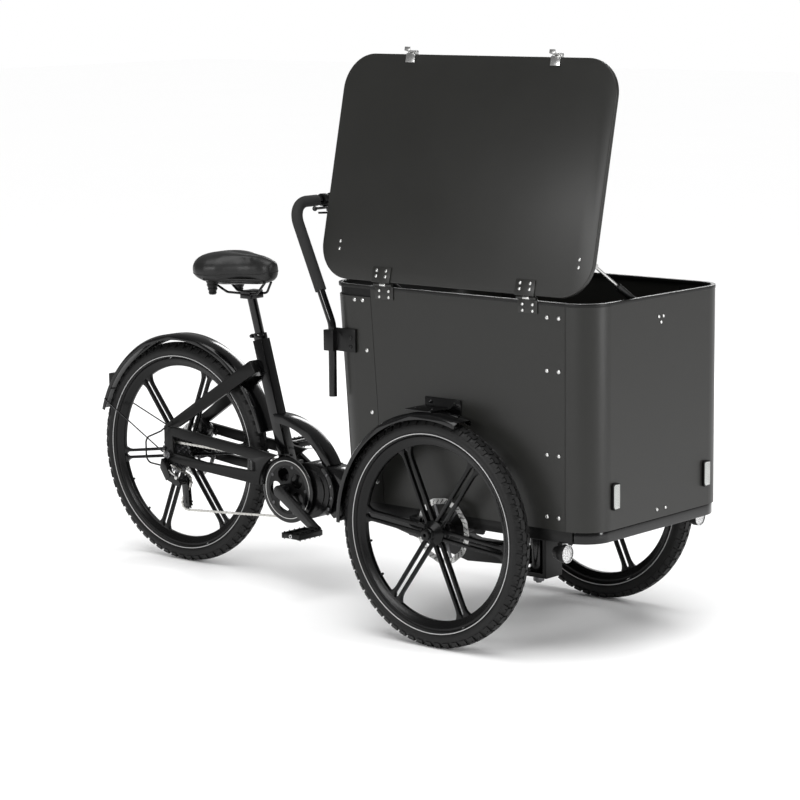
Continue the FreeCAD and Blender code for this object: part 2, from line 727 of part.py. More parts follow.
def caliper(x, z, r, angle, y_disc, inward):
    # a block straddling the disc at the given angle
    y0, y1 = y_disc - 13, y_disc + rotor_thick + 13
    body = block(x + r - 20, x + r + 16, y0, y1, z - 26, z + 26)
    slot = block(x + r - 40, x + r + 4, y_disc - 1.2, y_disc + rotor_thick + 1.2, z - 60, z + 60)
    body = cut(body, slot)
    lug_y = y0 if inward < 0 else y1
    lug = block(x + r - 6, x + r + 14, lug_y, lug_y + inward * 8, z - 36, z + 36)
    return turned(fuse(body, lug), x, z, angle)


calipers = []
left = caliper(0, front_tyre_r, rotor_r, 178, front_rotor_y, -1)
left = cut(left, block(-200, 200, 0, half_box + 0.5, 300, 600))
calipers = [left, mirror(left)]
put("front_calipers", *calipers)

# ---- rear frame ----
tilt = math.radians(seat_angle)
seat_dir = Vector(-math.sin(tilt), 0, math.cos(tilt))
seat_foot = Vector(seat_foot_x, 0, seat_foot_z)


def along_seat(distance):
    return seat_foot.add(seat_dir * distance)


def seat_block(low, high, half_x, half_y):
    shape = block(-half_x, half_x, -half_y, half_y, low, high)
    shape.rotate(Vector(0, 0, 0), Vector(0, 1, 0), -seat_angle)
    shape.translate(seat_foot)
    return shape


def seat_rod(low, high, r):
    return Part.makeCylinder(r, high - low, along_seat(low), seat_dir)


seat_solid = seat_block(-30, seat_tube_length, seat_tube_x / 2, seat_tube_y / 2)
floor_plane = block(-1000, -700, -100, 100, 200, seat_foot_z)
seat_solid = cut(seat_solid, floor_plane)
sleeve_low = seat_tube_length - 70
seat_bore = seat_block(-40, sleeve_low, seat_tube_x / 2 - seat_wall, seat_tube_y / 2 - seat_wall)
seat_tube = cut(seat_solid, seat_bore,
                seat_rod(sleeve_low - 10, seat_tube_length + 10, post_r + running_gap))
collar = cut(seat_rod(seat_tube_length + 0.2, seat_tube_length + 17, post_r + 6),
             seat_rod(seat_tube_length - 10, seat_tube_length + 30, post_r + running_gap))
collar_at = along_seat(seat_tube_length + 8.6)
ears_x = collar_at.x - post_r - 4
ear_blocks = []
for side in (-1, 1):
    ear = block(ears_x - 12, ears_x + 4, side * 2.5, side * 8.5, collar_at.z - 6, collar_at.z + 6)
    ear_blocks.append(ear)
collar = fuse(collar, *ear_blocks)
collar = cut(collar, seat_rod(seat_tube_length - 10, seat_tube_length + 30, post_r + running_gap),
             block(ears_x - 20, ears_x + 8, -2.5, 2.5, collar_at.z - 20, collar_at.z + 20),
             rod_y(ears_x - 7, collar_at.z, 3 + running_gap, -30, 30))
pin_len = 15.0
put("seat_tube", seat_tube, collar)
lever = fuse(rod_y(ears_x - 7, collar_at.z, 3, -pin_len, pin_len),
             rod_y(ears_x - 7, collar_at.z, 5.0, -9, -pin_len),
             rod_y(ears_x - 7, collar_at.z, 5.0, 9, pin_len),
             block(ears_x - 13, ears_x - 7, 9.2, 14.8, collar_at.z - 50, collar_at.z))
put("seat_lever", lever)

stay_in = stay_y - stay_thick / 2
stay_out = stay_y + stay_thick / 2


def chain_stay(side):
    y0, y1 = side * stay_in, side * stay_out
    tail = rear_axle_x
    upper = plate_y([(tail + 12, 414), (tail + 148, 400), (-934, 384), (-844, 373), (-844, 342),
                     (-934, 353), (tail + 148, 370), (tail + 12, 386)], y0, y1)
    lower = plate_y([(tail - 18, 338), (tail + 146, 321), (-899, 315), (-899, 279), (tail + 145, 294),
                     (tail - 18, 312)], y0, y1)
    yoke = plate_y([(-938, 383), (-845, 373), (-778, 384), (-778, 335), (-896, 279), (-938, 282)], y0, y1)
    window = plate_y([(-960, 352), (-915, 345), (-915, 318), (-960, 320)], y0 - side, y1 + side)
    drop = plate_y([(tail - 18, 414), (tail + 14, 411), (tail + 20, 304), (tail + 2, 298),
                    (tail - 18, 306)], y0, y1)
    whole = fuse(upper, lower, yoke, drop)
    return cut(whole, rod_y(crank_x, crank_z, guard_ring_r + 6, side * 40, side * 90), window,
               rod_y(rear_axle_x, rear_tyre_r, rear_axle_r + running_gap, side * 40, side * 90))


tyre_front_x = rear_axle_x + rear_tyre_r
bridge_back = tyre_front_x + 24
bridge = block(bridge_back, -846, -stay_in, stay_in, 292, seat_foot_z - 0.2)
bridge = cut(bridge, rod_y(crank_x, crank_z, guard_ring_r + 6, -90, -42))
put("chain_stays", chain_stay(-1), chain_stay(1), bridge)

stay_top_y = 31.0             # inner face of each seat stay where it meets the seat tube


def seat_stay(side):
    # a flat bar that leans inwards from the dropout to the seat tube
    foot = [(rear_axle_x - 18, 414.5), (rear_axle_x + 38, 414.5)]
    top = [(-957, 634), (-934, 601)]
    wires = []
    for ends, inner in ((foot, stay_in), (top, stay_top_y)):
        ring = [Vector(x, side * y, z) for (x, z), y in (
            (ends[0], inner), (ends[1], inner), (ends[1], inner + stay_thick), (ends[0], inner + stay_thick))]
        wires.append(Part.makePolygon(ring + ring[:1]))
    return Part.makeLoft(wires, True, True)


yoke_bar = plate_y([(-957, 634), (-934, 601), (-957, 585), (-980, 618)], -stay_top_y, stay_top_y)
yoke_bar = cut(yoke_bar, seat_block(-30, seat_tube_length, seat_tube_x / 2 + 0.05, seat_tube_y / 2 + 0.05))
seat_stays = [seat_stay(-1), seat_stay(1)]
yoke_bar = cut(yoke_bar, *seat_stays)
put("seat_stays", *seat_stays, *yoke_bar.Solids)


def arch():
    inner = arch_r - arch_depth
    half = arch_width / 2
    outer_face = [(-half, inner), (-half, arch_r), (half, arch_r), (half, inner)]
    t = frame_wall
    hollow = [(-half + t, inner + t), (-half + t, arch_r - t), (half - t, arch_r - t), (half - t, inner + t)]
    body = spun(outer_face, arch_x, 0, arch_z, 28, 64)
    body = cut(body, spun(hollow, arch_x, 0, arch_z, 27, 66))
    body = cut(body, seat_block(-30, seat_tube_length, seat_tube_x / 2 + 0.1, seat_tube_y / 2 + 2),
               block(-1100, seat_foot_x - 35, -80, 80, 300, 600))
    return cut(body, rod_y(motor_x, motor_z, motor_r + 0.5, -80, 80))


put("arch_tube", arch())


def neck():
    a0 = polar(arch_x, arch_z, arch_r - arch_depth, 27.6)
    a1 = polar(arch_x, arch_z, arch_r, 27.6)
    outline = [a0, a1, (-627, 350), (-590, 341), (-490, 298), (-160, 205), (steer_x - head_r - 4, 205),
               (steer_x - head_r - 4, 162), (-160, 150), (-480, 222), (-600, 226), (-650, 206), (-700, 250)]
    whole = plate_y(outline, -neck_half, neck_half)
    inside = [(-655, 320), (-627, 340), (-592, 331), (-488, 288), (-161, 195), (steer_x - 70, 195),
              (steer_x - 70, 169), (-160, 160), (-480, 232), (-600, 236), (-640, 225)]
    whole = cut(whole, plate_y(inside, -neck_half + 4, neck_half - 4))
    head = rod_z(steer_x, 0, head_r, head_low_z, head_high_z)
    ring_low = motor_r + 0.6
    ring_high = motor_r + 16
    flange = spun([(-motor_half + 1, ring_low), (-motor_half + 1, ring_high),
                   (-motor_half + 9, ring_high), (-motor_half + 9, ring_low)],
                  motor_x, 0, motor_z, -42, 95)
    whole = fuse(whole, rod_x(0, 184, 17, steer_x - head_r - 30, steer_x), head, flange, mirror(flange))
    return cut(whole, rod_y(motor_x, motor_z, motor_r + 0.5, -60, 60),
               rod_z(steer_x, 0, king_r + running_gap, 100, 300))


put("neck_beam", neck())


def motor():
    drum = rod_y(motor_x, motor_z, motor_r, -motor_half, motor_half)
    casing = rod_y(crank_x, crank_z, 44, -motor_half - 3, motor_half + 3)
    link = plate_y([(crank_x, crank_z + 44), (motor_x, motor_z + 70), (motor_x, motor_z - 70),
                    (crank_x, crank_z - 44)], -motor_half + 4, motor_half - 4)
    caps = [rod_y(motor_x, motor_z, motor_r - 16, motor_half, motor_half + 4),
            rod_y(motor_x, motor_z, motor_r - 16, -motor_half - 4, -motor_half)]
    body = fuse(drum, casing, link, *caps)
    return cut(body, rod_y(crank_x, crank_z, spindle_r + running_gap, -100, 100))


put("motor", motor())

motor_bolts = []
for side in (-1, 1):
    for a in (-30, -8, 14, 36):
        x, z = polar(motor_x, motor_z, motor_r + 9, a)
        motor_bolts.append(button(x, side * (motor_half - 0.9), z, (0, side, 0), 4.5, 3.5))
axle = rod_y(rear_axle_x, rear_tyre_r, rear_axle_r, -stay_out - 12, stay_out + 12)
axle = fuse(axle, rod_y(rear_axle_x, rear_tyre_r, 11, stay_out + 0.2, stay_out + 9),
            rod_y(rear_axle_x, rear_tyre_r, 11, -stay_out - 0.2, -stay_out - 9))
put("frame_bolts", axle, *motor_bolts)


# ---- drive ----
def crank_point(side):
    a = crank_angle if side < 0 else crank_angle + 180
    return polar(crank_x, crank_z, crank_length, a)


def crankset():
    parts = [rod_y(crank_x, crank_z, spindle_r, -crank_offset, crank_offset)]
    for side in (-1, 1):
        y0 = side * (crank_offset - crank_thick / 2)
        y1 = side * (crank_offset + crank_thick / 2)
        end_x, end_z = crank_point(side)
        arm = plate_y([(crank_x - 4, crank_z - 17), (crank_x + crank_length, crank_z - 12),
                       (crank_x + crank_length, crank_z + 12), (crank_x - 4, crank_z + 17)], y0, y1)
        parts.append(turned(arm, crank_x, crank_z, crank_angle if side < 0 else crank_angle + 180))
        parts.append(rod_y(crank_x, crank_z, 18, side * (motor_half + 24), y1))
        parts.append(rod_y(end_x, end_z, 13, y0, y1))
        parts.append(rod_y(end_x, end_z, pedal_pin_r, y1, side * (crank_offset + pedal_length + 12)))
    return fuse(*parts)


put("crankset", crankset())
tooth_r = chain_r - chain_height / 2 - 0.4
ring_y0, ring_y1 = chain_y - 1.2, chain_y + 1.2


def spider(y0, y1, r_in, r_out, boss):
    ring = spun([(y0, r_in), (y1, r_in), (y1, r_out), (y0, r_out)], crank_x, 0, crank_z)
    for i in range(5):
        arm = block(crank_x + 12, crank_x + r_in + 1, y0, y1, crank_z - 8, crank_z + 8)
        ring = ring.fuse(turned(arm, crank_x, crank_z, crank_angle + 36 + 72 * i))
    ring = ring.fuse(rod_y(crank_x, crank_z, boss, y0, y1)).removeSplitter()
    return cut(ring, rod_y(crank_x, crank_z, spindle_r + 0.02, -90, 0))


toothed_ring = spider(ring_y0, ring_y1, 62, tooth_r, 20)
guard_y = chain_y - chain_width / 2 - 3.0
guard = spider(guard_y - 3, guard_y, 70, guard_ring_r, 20)
for i in range(5):
    x, z = polar(crank_x, crank_z, 72, crank_angle + 36 + 72 * i)
    guard = guard.fuse(rod_y(x, z, 4, guard_y - 1, ring_y0 - 0.1))
put("chainring", toothed_ring, guard.removeSplitter())

for side, name in ((-1, "right"), (1, "left")):
    end_x, end_z = crank_point(side)
    y0 = side * (crank_offset + crank_thick / 2 + 6)
    y1 = side * (crank_offset + crank_thick / 2 + 6 + pedal_length)
    half = pedal_width / 2
    body = block(end_x - half, end_x + half, y0, y1, end_z - pedal_thick / 2, end_z + pedal_thick / 2)
    for sx in (-1, 1):
        body = cut(body, block(end_x + sx * 12, end_x + sx * (half - 8), y0 + side * 12, y1 - side * 12,
                               end_z - 30, end_z + 30))
    put("pedal_" + name, cut(body, rod_y(end_x, end_z, pedal_pin_r + running_gap, y0 - side, y1 + side)))

cogs = []
for i, teeth in enumerate(cog_teeth):
    y = chain_y + (i - drive_cog) * cog_pitch
    r = chain_pitch / 2 / math.sin(math.pi / teeth) - chain_height / 2 - 0.4
    cogs.append(rod_y(rear_axle_x, rear_tyre_r, r, y - cog_thick / 2, y + cog_thick / 2))
cog_low = chain_y - drive_cog * cog_pitch
body = rod_y(rear_axle_x, rear_tyre_r, 17, max(cog_low - 1, -stay_in + 0.6), -rear_hub_length / 2 - side_gap)
body = fuse(body, *[c for c in cogs if c.BoundBox.YMin > -stay_in + 0.5])
put("cassette", cut(body, rod_y(rear_axle_x, rear_tyre_r, rear_axle_r + running_gap, -90, -30)))

jockey_r = 18.0
jockeys = ((-1218.0, 252.0), (-1212.0, 188.0))
drive_r = chain_pitch / 2 / math.sin(math.pi / cog_teeth[drive_cog])


def chain():
    # wheels in the order the chain meets them; +1 is clockwise seen from the right
    guide_r = jockey_r + chain_height / 2 + 0.5
    upper, lower = jockeys
    route = ((crank_x, crank_z, chain_r, 1), (lower[0], lower[1], guide_r, 1),
             (upper[0], upper[1], guide_r, -1), (rear_axle_x, rear_tyre_r, drive_r, 1))
    count = len(route)
    normals = []
    for i in range(count):
        x0, z0, r0, s0 = route[i]
        x1, z1, r1, s1 = route[(i + 1) % count]
        away = math.hypot(x1 - x0, z1 - z0)
        normals.append(math.atan2(z1 - z0, x1 - x0) + math.acos((s0 * r0 - s1 * r1) / away))
    half = chain_height / 2
    parts = []
    for i in range(count):
        x0, z0, r0, s0 = route[i]
        x1, z1, r1, s1 = route[(i + 1) % count]
        n = (math.cos(normals[i]), math.sin(normals[i]))
        a = (x0 + s0 * r0 * n[0], z0 + s0 * r0 * n[1])
        b = (x1 + s1 * r1 * n[0], z1 + s1 * r1 * n[1])
        run = [(p[0] + k * n[0], p[1] + k * n[1])
               for p, k in ((a, -half), (a, half), (b, half), (b, -half))]
        parts.append(plate_y(run, chain_y - chain_width / 2, chain_y + chain_width / 2))
        before = math.degrees(normals[i - 1])
        after = math.degrees(normals[i])
        profile = [(-chain_width / 2, r0 - half), (-chain_width / 2, r0 + half),
                   (chain_width / 2, r0 + half), (chain_width / 2, r0 - half)]
        if s0 > 0:
            parts.append(spun(profile, x0, chain_y, z0, after, (before - after) % 360))
        else:
            parts.append(spun(profile, x0, chain_y, z0, before + 180, (after - before) % 360))
    return fuse(*parts)


put("chain", chain())
for i, name in enumerate(("upper", "lower")):
    x, z = jockeys[i]
    wheel = rod_y(x, z, jockey_r, chain_y - 1.2, chain_y + 1.2)
    wheel = fuse(wheel, rod_y(x, z, 7, chain_y - 3, chain_y + 3))
    put("jockey_" + name, cut(wheel, rod_y(x, z, 2.5 + running_gap, -90, 0)))


def derailleur():
    (ux, uz), (lx, lz) = jockeys
    parts = []
    for y0, y1 in ((chain_y - 6.5, chain_y - 4.5), (chain_y + 4.5, chain_y + 6.5)):
        cage = plate_y([(ux - 13, uz + 8), (ux + 12, uz + 12), (lx + 13, lz - 8), (lx - 10, lz - 14)],
                       y0, y1)
        parts.append(cage)
    for x, z in jockeys:
        parts.append(rod_y(x, z, 2.5, chain_y - 8, chain_y + 8))
    out = -stay_out - 3
    parts.append(plate_y([(-1280, 318), (-1262, 300), (-1246, 268), (-1262, 254), (-1286, 290)],
                         -stay_out - 0.4, -stay_out - 20))
    parts.append(plate_y([(-1270, 282), (-1222, 268), (-1206, 250), (-1216, 240), (-1262, 256)],
                         out - 14, out - 1))
    parts.append(rod_y(ux, uz, 9, chain_y - 6, out - 8))
    return fuse(*parts)


put("derailleur", derailleur())
cable_y = -stay_out - 12.0
cable_r = 2.5
cable_bend = 24
cable = bent_tube([Vector(-1290.5, cable_y, 296), Vector(-1350, cable_y, 300),
                   Vector(-1352, cable_y + 1, 372), Vector(-1290, cable_y + 2, 398),
                   Vector(-1240, cable_y + 2, 432)], cable_r, cable_bend)
put("gear_cable", cable)

cal = caliper(rear_axle_x, rear_tyre_r, rotor_r - 6, 58, rear_rotor_y, 1)
beyond_stay = block(rear_axle_x - 133, rear_axle_x + 267, stay_in - 0.3, 120, 300, 600)
put("rear_caliper", cut(cal, beyond_stay, seat_stays[1]))

guard_x, guard_z = rear_axle_x + rear_guard_x, rear_tyre_r + rear_guard_z
rear_guard = mudguard(guard_x, 0, guard_z, rear_guard_r, 15, 149)
struts = []
for side in (-1, 1):
    tail_x, tail_z = polar(guard_x, guard_z, rear_guard_r - 6, 158)
    y = side * (mudguard_half + guard_thick + 2.2)
    end_y = side * (stay_out + 2.4)
    struts.append(fuse(between(Vector(tail_x, y, tail_z), Vector(rear_axle_x - 23, end_y, 335), 2.0),
                       rod_y(rear_axle_x - 17, 346, 6, side * (stay_out + 0.3), side * (stay_out + 4.2))))
put("rear_mudguard", rear_guard, *struts)
light_x, light_z = polar(guard_x, guard_z, rear_guard_r + guard_thick, 149)
tail = block(light_x - 16, light_x + 24, -17, 17, light_z - 22, light_z + 24)
tail = cut(tail, rod_y(guard_x, guard_z, rear_guard_r + guard_thick + 0.3, -60, 60))
put("tail_light", max(tail.Solids, key=lambda s: s.Volume))

# ---- seat ----
post_low = seat_tube_length - post_in
post_top = post_low + post_length
head_at = along_seat(post_top)
post = cut(seat_rod(post_low, post_top, post_r), seat_rod(post_low - 1, post_top - 20, post_r - 2.5))
rail_z = head_at.z + 12
rail_r = 3.6
rail_half = 22.0
head_half_x = 20.0
head_half_y = 28.0
rail_seats = [rod_x(side * rail_half, rail_z, rail_r + 0.03, head_at.x - 40, head_at.x + 40)
              for side in (-1, 1)]
head = block(head_at.x - head_half_x, head_at.x + head_half_x, -head_half_y, head_half_y,
             rail_z - 14, rail_z - 0.5)
head = fuse(post, head)
cap = block(head_at.x - head_half_x + 2, head_at.x + head_half_x - 2, -head_half_y, head_half_y,
            rail_z + 0.5, rail_z + 9)
rails = []
for side in (-1, 1):
    y = side * rail_half
    rails.append(bent_tube([Vector(saddle_x + 92, y * 0.6, rail_z + 35.4), Vector(saddle_x + 66, y, rail_z),
                            Vector(saddle_x - 50, y, rail_z), Vector(saddle_x - 88, y * 1.4, rail_z + 22)],
                           rail_r, 22))
put("seat_post", cut(head, *rail_seats), cut(cap, *rail_seats), *rails)


saddle_deep = 66.0
spring_high = 44.0
spring_y = 56.0


def saddle_section(x, half, low, high, crown):
    # a closed section across the saddle at one station
    right = [Vector(x, -half, low), Vector(x, -half, low + crown), Vector(x, -half * 0.82, high - 8),
             Vector(x, -half * 0.4, high - 1)]
    left = [Vector(x, -p.y, p.z) for p in reversed(right)]
    points = right + [Vector(x, 0, high)] + left
    return Part.makePolygon(points + points[:1])


def saddle_loft(inset, low_drop, top_drop):
    stations = ((-138, 62, 12, 0), (-118, 104, 2, 0), (-78, 113, 0, 0), (-20, 92, 0, 2), (30, 56, 0, 5),
                (80, 37, 2, 8), (112, 27, 6, 12), (120, 16, 10, 18))
    wires = []
    for dx, half, lift, fall in stations:
        low = saddle_top_z - saddle_deep + lift + low_drop
        high = saddle_top_z - fall - top_drop
        wires.append(saddle_section(saddle_x + dx, half - inset, low, high, 20))
    return Part.makeLoft(wires, True, True)


cover = saddle_loft(0, 0, 0)
base_top_z = saddle_top_z - saddle_deep - 0.2
base_right = [(-126, -60), (-76, -104), (20, -60), (98, -29)]
base_left = [(x, -y) for x, y in reversed(base_right)]
base = plate_z([(saddle_x + x, y) for x, y in base_right + base_left], base_top_z - 8, base_top_z)
spring_low_z = base_top_z - 8.2 - spring_high
springs = []
for side in (-1, 1):
    spring_at = Vector(saddle_x - 76, side * spring_y, spring_low_z)
    springs.append(Part.makeCone(11, 21, spring_high, spring_at, Vector(0, 0, 1)))
put("saddle_cover", cover)
put("saddle_base", base, *springs)


# ---- handlebar ----
def bar_path():
    return [Vector(bar_x, -bar_y, bar_foot_z), Vector(bar_x, -bar_y, bar_bend_z),
            Vector(bar_top_x, -bar_y, bar_top_z), Vector(bar_top_x, bar_y, bar_top_z),
            Vector(bar_x, bar_y, bar_bend_z), Vector(bar_x, bar_y, bar_foot_z)]


outer_bar = bent_tube(bar_path(), bar_r, bar_bend_r)
put("handlebar", outer_bar)
climb = Vector(bar_top_x - bar_x, 0, bar_top_z - bar_bend_z).normalize()
grip_start = Vector(bar_x, -bar_y, bar_bend_z).add(climb * 96)
grip_path = [grip_start, Vector(bar_top_x, -bar_y, bar_top_z), Vector(bar_top_x, -grip_end_y, bar_top_z)]
sleeve = bent_tube(grip_path, grip_r, bar_bend_r)
sleeve = cut(sleeve, bent_tube(bar_path(), bar_r + 0.05, bar_bend_r))
sleeve = max(sleeve.Solids, key=lambda s: s.Volume)
put("foam_grips", sleeve, mirror(sleeve))

clamps = []
for side in (-1, 1):
    y = side * bar_y
    cheek = block(bar_x - 17, bar_x + 17, y - 17, y + 17, clamp_low_z, clamp_high_z - 14)
    arm = block(bar_x + 10, -318, side * (half_box + 0.4), side * (half_box + 7),
                clamp_low_z, clamp_high_z - 8)
    one = fuse(cheek, arm)
    one = cut(one, rod_z(bar_x, y, bar_r + running_gap, 600, 900), slab(-0.3, box_bottom_z, box_top_z))
    clamps += one.Solids
    for z in (clamp_low_z + 14, clamp_high_z - 30):
        clamps.append(button(bar_x - 17.1, y, z, (-1, 0, 0), 5.5, 4))
        clamps.append(button(-334, side * (half_box + 7.1), z, (0, side, 0), 5.5, 3))
put("bar_clamps", *clamps)


def off_bar(shape):
    # takes the handlebar's own room out of a shape
    return cut(shape, rod_y(bar_top_x, bar_top_z, bar_r + 0.05, -300, 300))


def bar_ring(y, half, wall=6.0):
    # a clamp round the level part of the handlebar
    return off_bar(rod_y(bar_top_x, bar_top_z, bar_r + wall, y - half, y + half))


def by_bar(x0, x1, y0, y1, z0, z1):
    # a block placed from the axis of the level bar
    return block(bar_top_x + x0, bar_top_x + x1, y0, y1, bar_top_z + z0, bar_top_z + z1)


def pin_by_bar(x, y, r, z0, z1):
    return rod_z(bar_top_x + x, y, r, bar_top_z + z0, bar_top_z + z1)


mount_y = 178.0
lever_x = 34.0
lever_out = 14.0
lever_half = 3.0
lever_z = -15.0
pin_r = 3.0
controls = []
levers = []
for side in (-1, 1):
    y = side * mount_y
    pin_y = y + side * lever_out
    ring = fuse(bar_ring(y, 9), off_bar(by_bar(6, lever_x, y - side * 14, y + side * 4, -24, -6)))
    clevis = by_bar(20, 50, y - side * 2, y + side * 26, lever_z - 7, lever_z + 7)
    hole = pin_by_bar(lever_x, pin_y, pin_r + running_gap, -60, 20)
    clevis = cut(clevis, by_bar(24, 60, y + side * 5, y + side * 30, lever_z - 3.5, lever_z + 3.5))
    pin = pin_by_bar(lever_x, pin_y, pin_r, lever_z - 7, lever_z + 7)
    controls.append(fuse(ring, clevis, pin))
    curve = [(lever_x - 5, lever_out), (lever_x + 6, lever_out), (60, 44), (59, 92), (50, 92), (50, 46)]
    tip = Vector(bar_top_x + 54.5, y + side * 95, bar_top_z + lever_z)
    blade = fuse(pin_by_bar(lever_x, pin_y, 7, lever_z - lever_half, lever_z + lever_half),
                 plate_z([(bar_top_x + x, y + side * out) for x, out in curve],
                         bar_top_z + lever_z - lever_half, bar_top_z + lever_z + lever_half),
                 Part.makeSphere(7, tip))
    levers.append(cut(blade, hole))
brake_pivot = (bar_top_x + lever_x, mount_y + lever_out, bar_top_z + lever_z)

shift_y = -140.0
shift_x = 6.0
pod = fuse(bar_ring(shift_y, 11), off_bar(by_bar(-12, 26, shift_y - 13, shift_y + 13, -34, -10)))
pod = fuse(pod, pin_by_bar(shift_x, shift_y, 4, -42, -34))
controls.append(pod)
thumb = fuse(pin_by_bar(shift_x, shift_y, 9, -40, -35),
             plate_z([(bar_top_x, shift_y - 4), (bar_top_x - 24, shift_y - 34),
                      (bar_top_x - 16, shift_y - 40), (bar_top_x + 12, shift_y - 6)],
                     bar_top_z - 40, bar_top_z - 35))
thumb = cut(thumb, pin_by_bar(shift_x, shift_y, 4 + running_gap, -60, 0))
put("shift_lever", thumb)

panel_y = 128.0
panel_half = 20.0
panel_low = bar_r + 3
display = fuse(bar_ring(panel_y, 9),
               by_bar(-panel_half, panel_half, panel_y - 26, panel_y + 26, panel_low, panel_low + 12))
controls.append(display)
bell_y = -96.0
bell_r = 22.0
dome = Part.makeSphere(bell_r, Vector(bar_top_x, bell_y, bar_top_z + bar_r + 10), Vector(0, 0, 1),
                       0, 90, 360)
controls.append(fuse(bar_ring(bell_y, 7, 5), pin_by_bar(0, bell_y, 5, bar_r + 1, bar_r + 12), dome))
put("bar_controls", *controls)
put("brake_lever_right", levers[0])
put("brake_lever_left", levers[1])

if __name__ == "__main__":
    whole = Part.Compound([shape for _, _, shape in total])
    box = whole.BoundBox
    print("nodes", len(total), "solids", sum(count for _, count, _ in total))
    print("x", round(box.XMin, 1), round(box.XMax, 1), "y", round(box.YMin, 1), round(box.YMax, 1),
          "z", round(box.ZMin, 1), round(box.ZMax, 1))
    for name, count, shape in total:
        if not shape.isValid():
            print("invalid", name)
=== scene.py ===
import bpy
import bmesh
import json
import math
from mathutils import Vector, Matrix, noise


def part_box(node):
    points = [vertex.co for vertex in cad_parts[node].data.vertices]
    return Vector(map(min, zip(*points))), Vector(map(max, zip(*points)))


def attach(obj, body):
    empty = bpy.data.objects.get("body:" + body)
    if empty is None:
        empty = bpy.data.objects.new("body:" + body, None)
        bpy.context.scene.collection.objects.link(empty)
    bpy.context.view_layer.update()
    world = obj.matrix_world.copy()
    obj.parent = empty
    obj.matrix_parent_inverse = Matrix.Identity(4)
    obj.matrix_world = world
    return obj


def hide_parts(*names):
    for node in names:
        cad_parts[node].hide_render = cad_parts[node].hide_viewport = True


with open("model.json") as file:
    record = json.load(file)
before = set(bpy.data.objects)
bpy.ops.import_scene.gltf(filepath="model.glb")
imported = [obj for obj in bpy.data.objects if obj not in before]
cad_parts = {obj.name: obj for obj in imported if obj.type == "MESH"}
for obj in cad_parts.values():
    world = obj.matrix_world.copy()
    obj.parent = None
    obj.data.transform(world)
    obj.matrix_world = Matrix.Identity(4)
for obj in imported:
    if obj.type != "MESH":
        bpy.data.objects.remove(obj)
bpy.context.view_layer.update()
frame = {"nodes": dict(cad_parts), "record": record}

print("stage: frame loaded")

# Everything is drawn in millimetres from the ground point under the front axle,
# the way the parts are, and set into the frame's metres when a piece is finished.
wheelLow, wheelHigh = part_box("front_wheel_right")
rearLow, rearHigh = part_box("rear_wheel")
axleX = (wheelLow.x + wheelHigh.x) / 2
halfTrack = -500 * (wheelLow.y + wheelHigh.y)
frontR = 500 * (wheelLow.z + wheelHigh.z)
rearR = 500 * (rearLow.z + rearHigh.z)
rearX = 500 * (rearLow.x + rearHigh.x) - axleX * 1000

record = frame["record"]
bodyOf = {node: body for body, nodes in record["behaviour"]["bodies"].items() for node in nodes}


def toFrame(point):
    return Vector((point[0] / 1000 + axleX, point[1] / 1000, point[2] / 1000))


def fromFrame(point):
    return Vector(((point.x - axleX) * 1000, point.y * 1000, point.z * 1000))


def linkNew(name, data):
    # a new object in the scene
    made = bpy.data.objects.new(name, data)
    bpy.context.scene.collection.objects.link(made)
    return made


# camera
view = {
    "place": (4509.8, -5785.7, 1783.6), "turn": 40.463, "down": 9.105, "roll": -0.547, "lens": 124.7,
}
turn, down, roll = (math.radians(view[k]) for k in ("turn", "down", "roll"))
ahead = Vector((-math.sin(turn) * math.cos(down), math.cos(turn) * math.cos(down), -math.sin(down)))
right = Vector((math.cos(turn), math.sin(turn), 0))
above = right.cross(ahead)
rightRolled = right * math.cos(roll) + above * math.sin(roll)
aboveRolled = -right * math.sin(roll) + above * math.cos(roll)
camera = linkNew("camera", bpy.data.cameras.new("camera"))
turned = Matrix((rightRolled, aboveRolled, -ahead)).transposed().to_4x4()
camera.matrix_world = Matrix.Translation(toFrame(view["place"])) @ turned
camera.data.sensor_width = 36
camera.data.lens = view["lens"]
camera.data.clip_end = 100
bpy.context.scene.camera = camera


# shader helpers
class Term:
    # a node's output that takes part in plain arithmetic
    def __init__(self, shade, socket):
        self.shade, self.socket = shade, socket

    def math(self, operation, *others):
        return self.shade.add("ShaderNodeMath", {"operation": operation},
                              dict(enumerate((self,) + others)))

    def __add__(self, other):
        return self.math("ADD", other)

    def __mul__(self, other):
        return self.math("MULTIPLY", other)

    __radd__ = __add__
    __rmul__ = __mul__

    def __sub__(self, other):
        return self.math("SUBTRACT", other)

    def __rsub__(self, other):
        return self.shade.add("ShaderNodeMath", {"operation": "SUBTRACT"}, {0: other, 1: self})


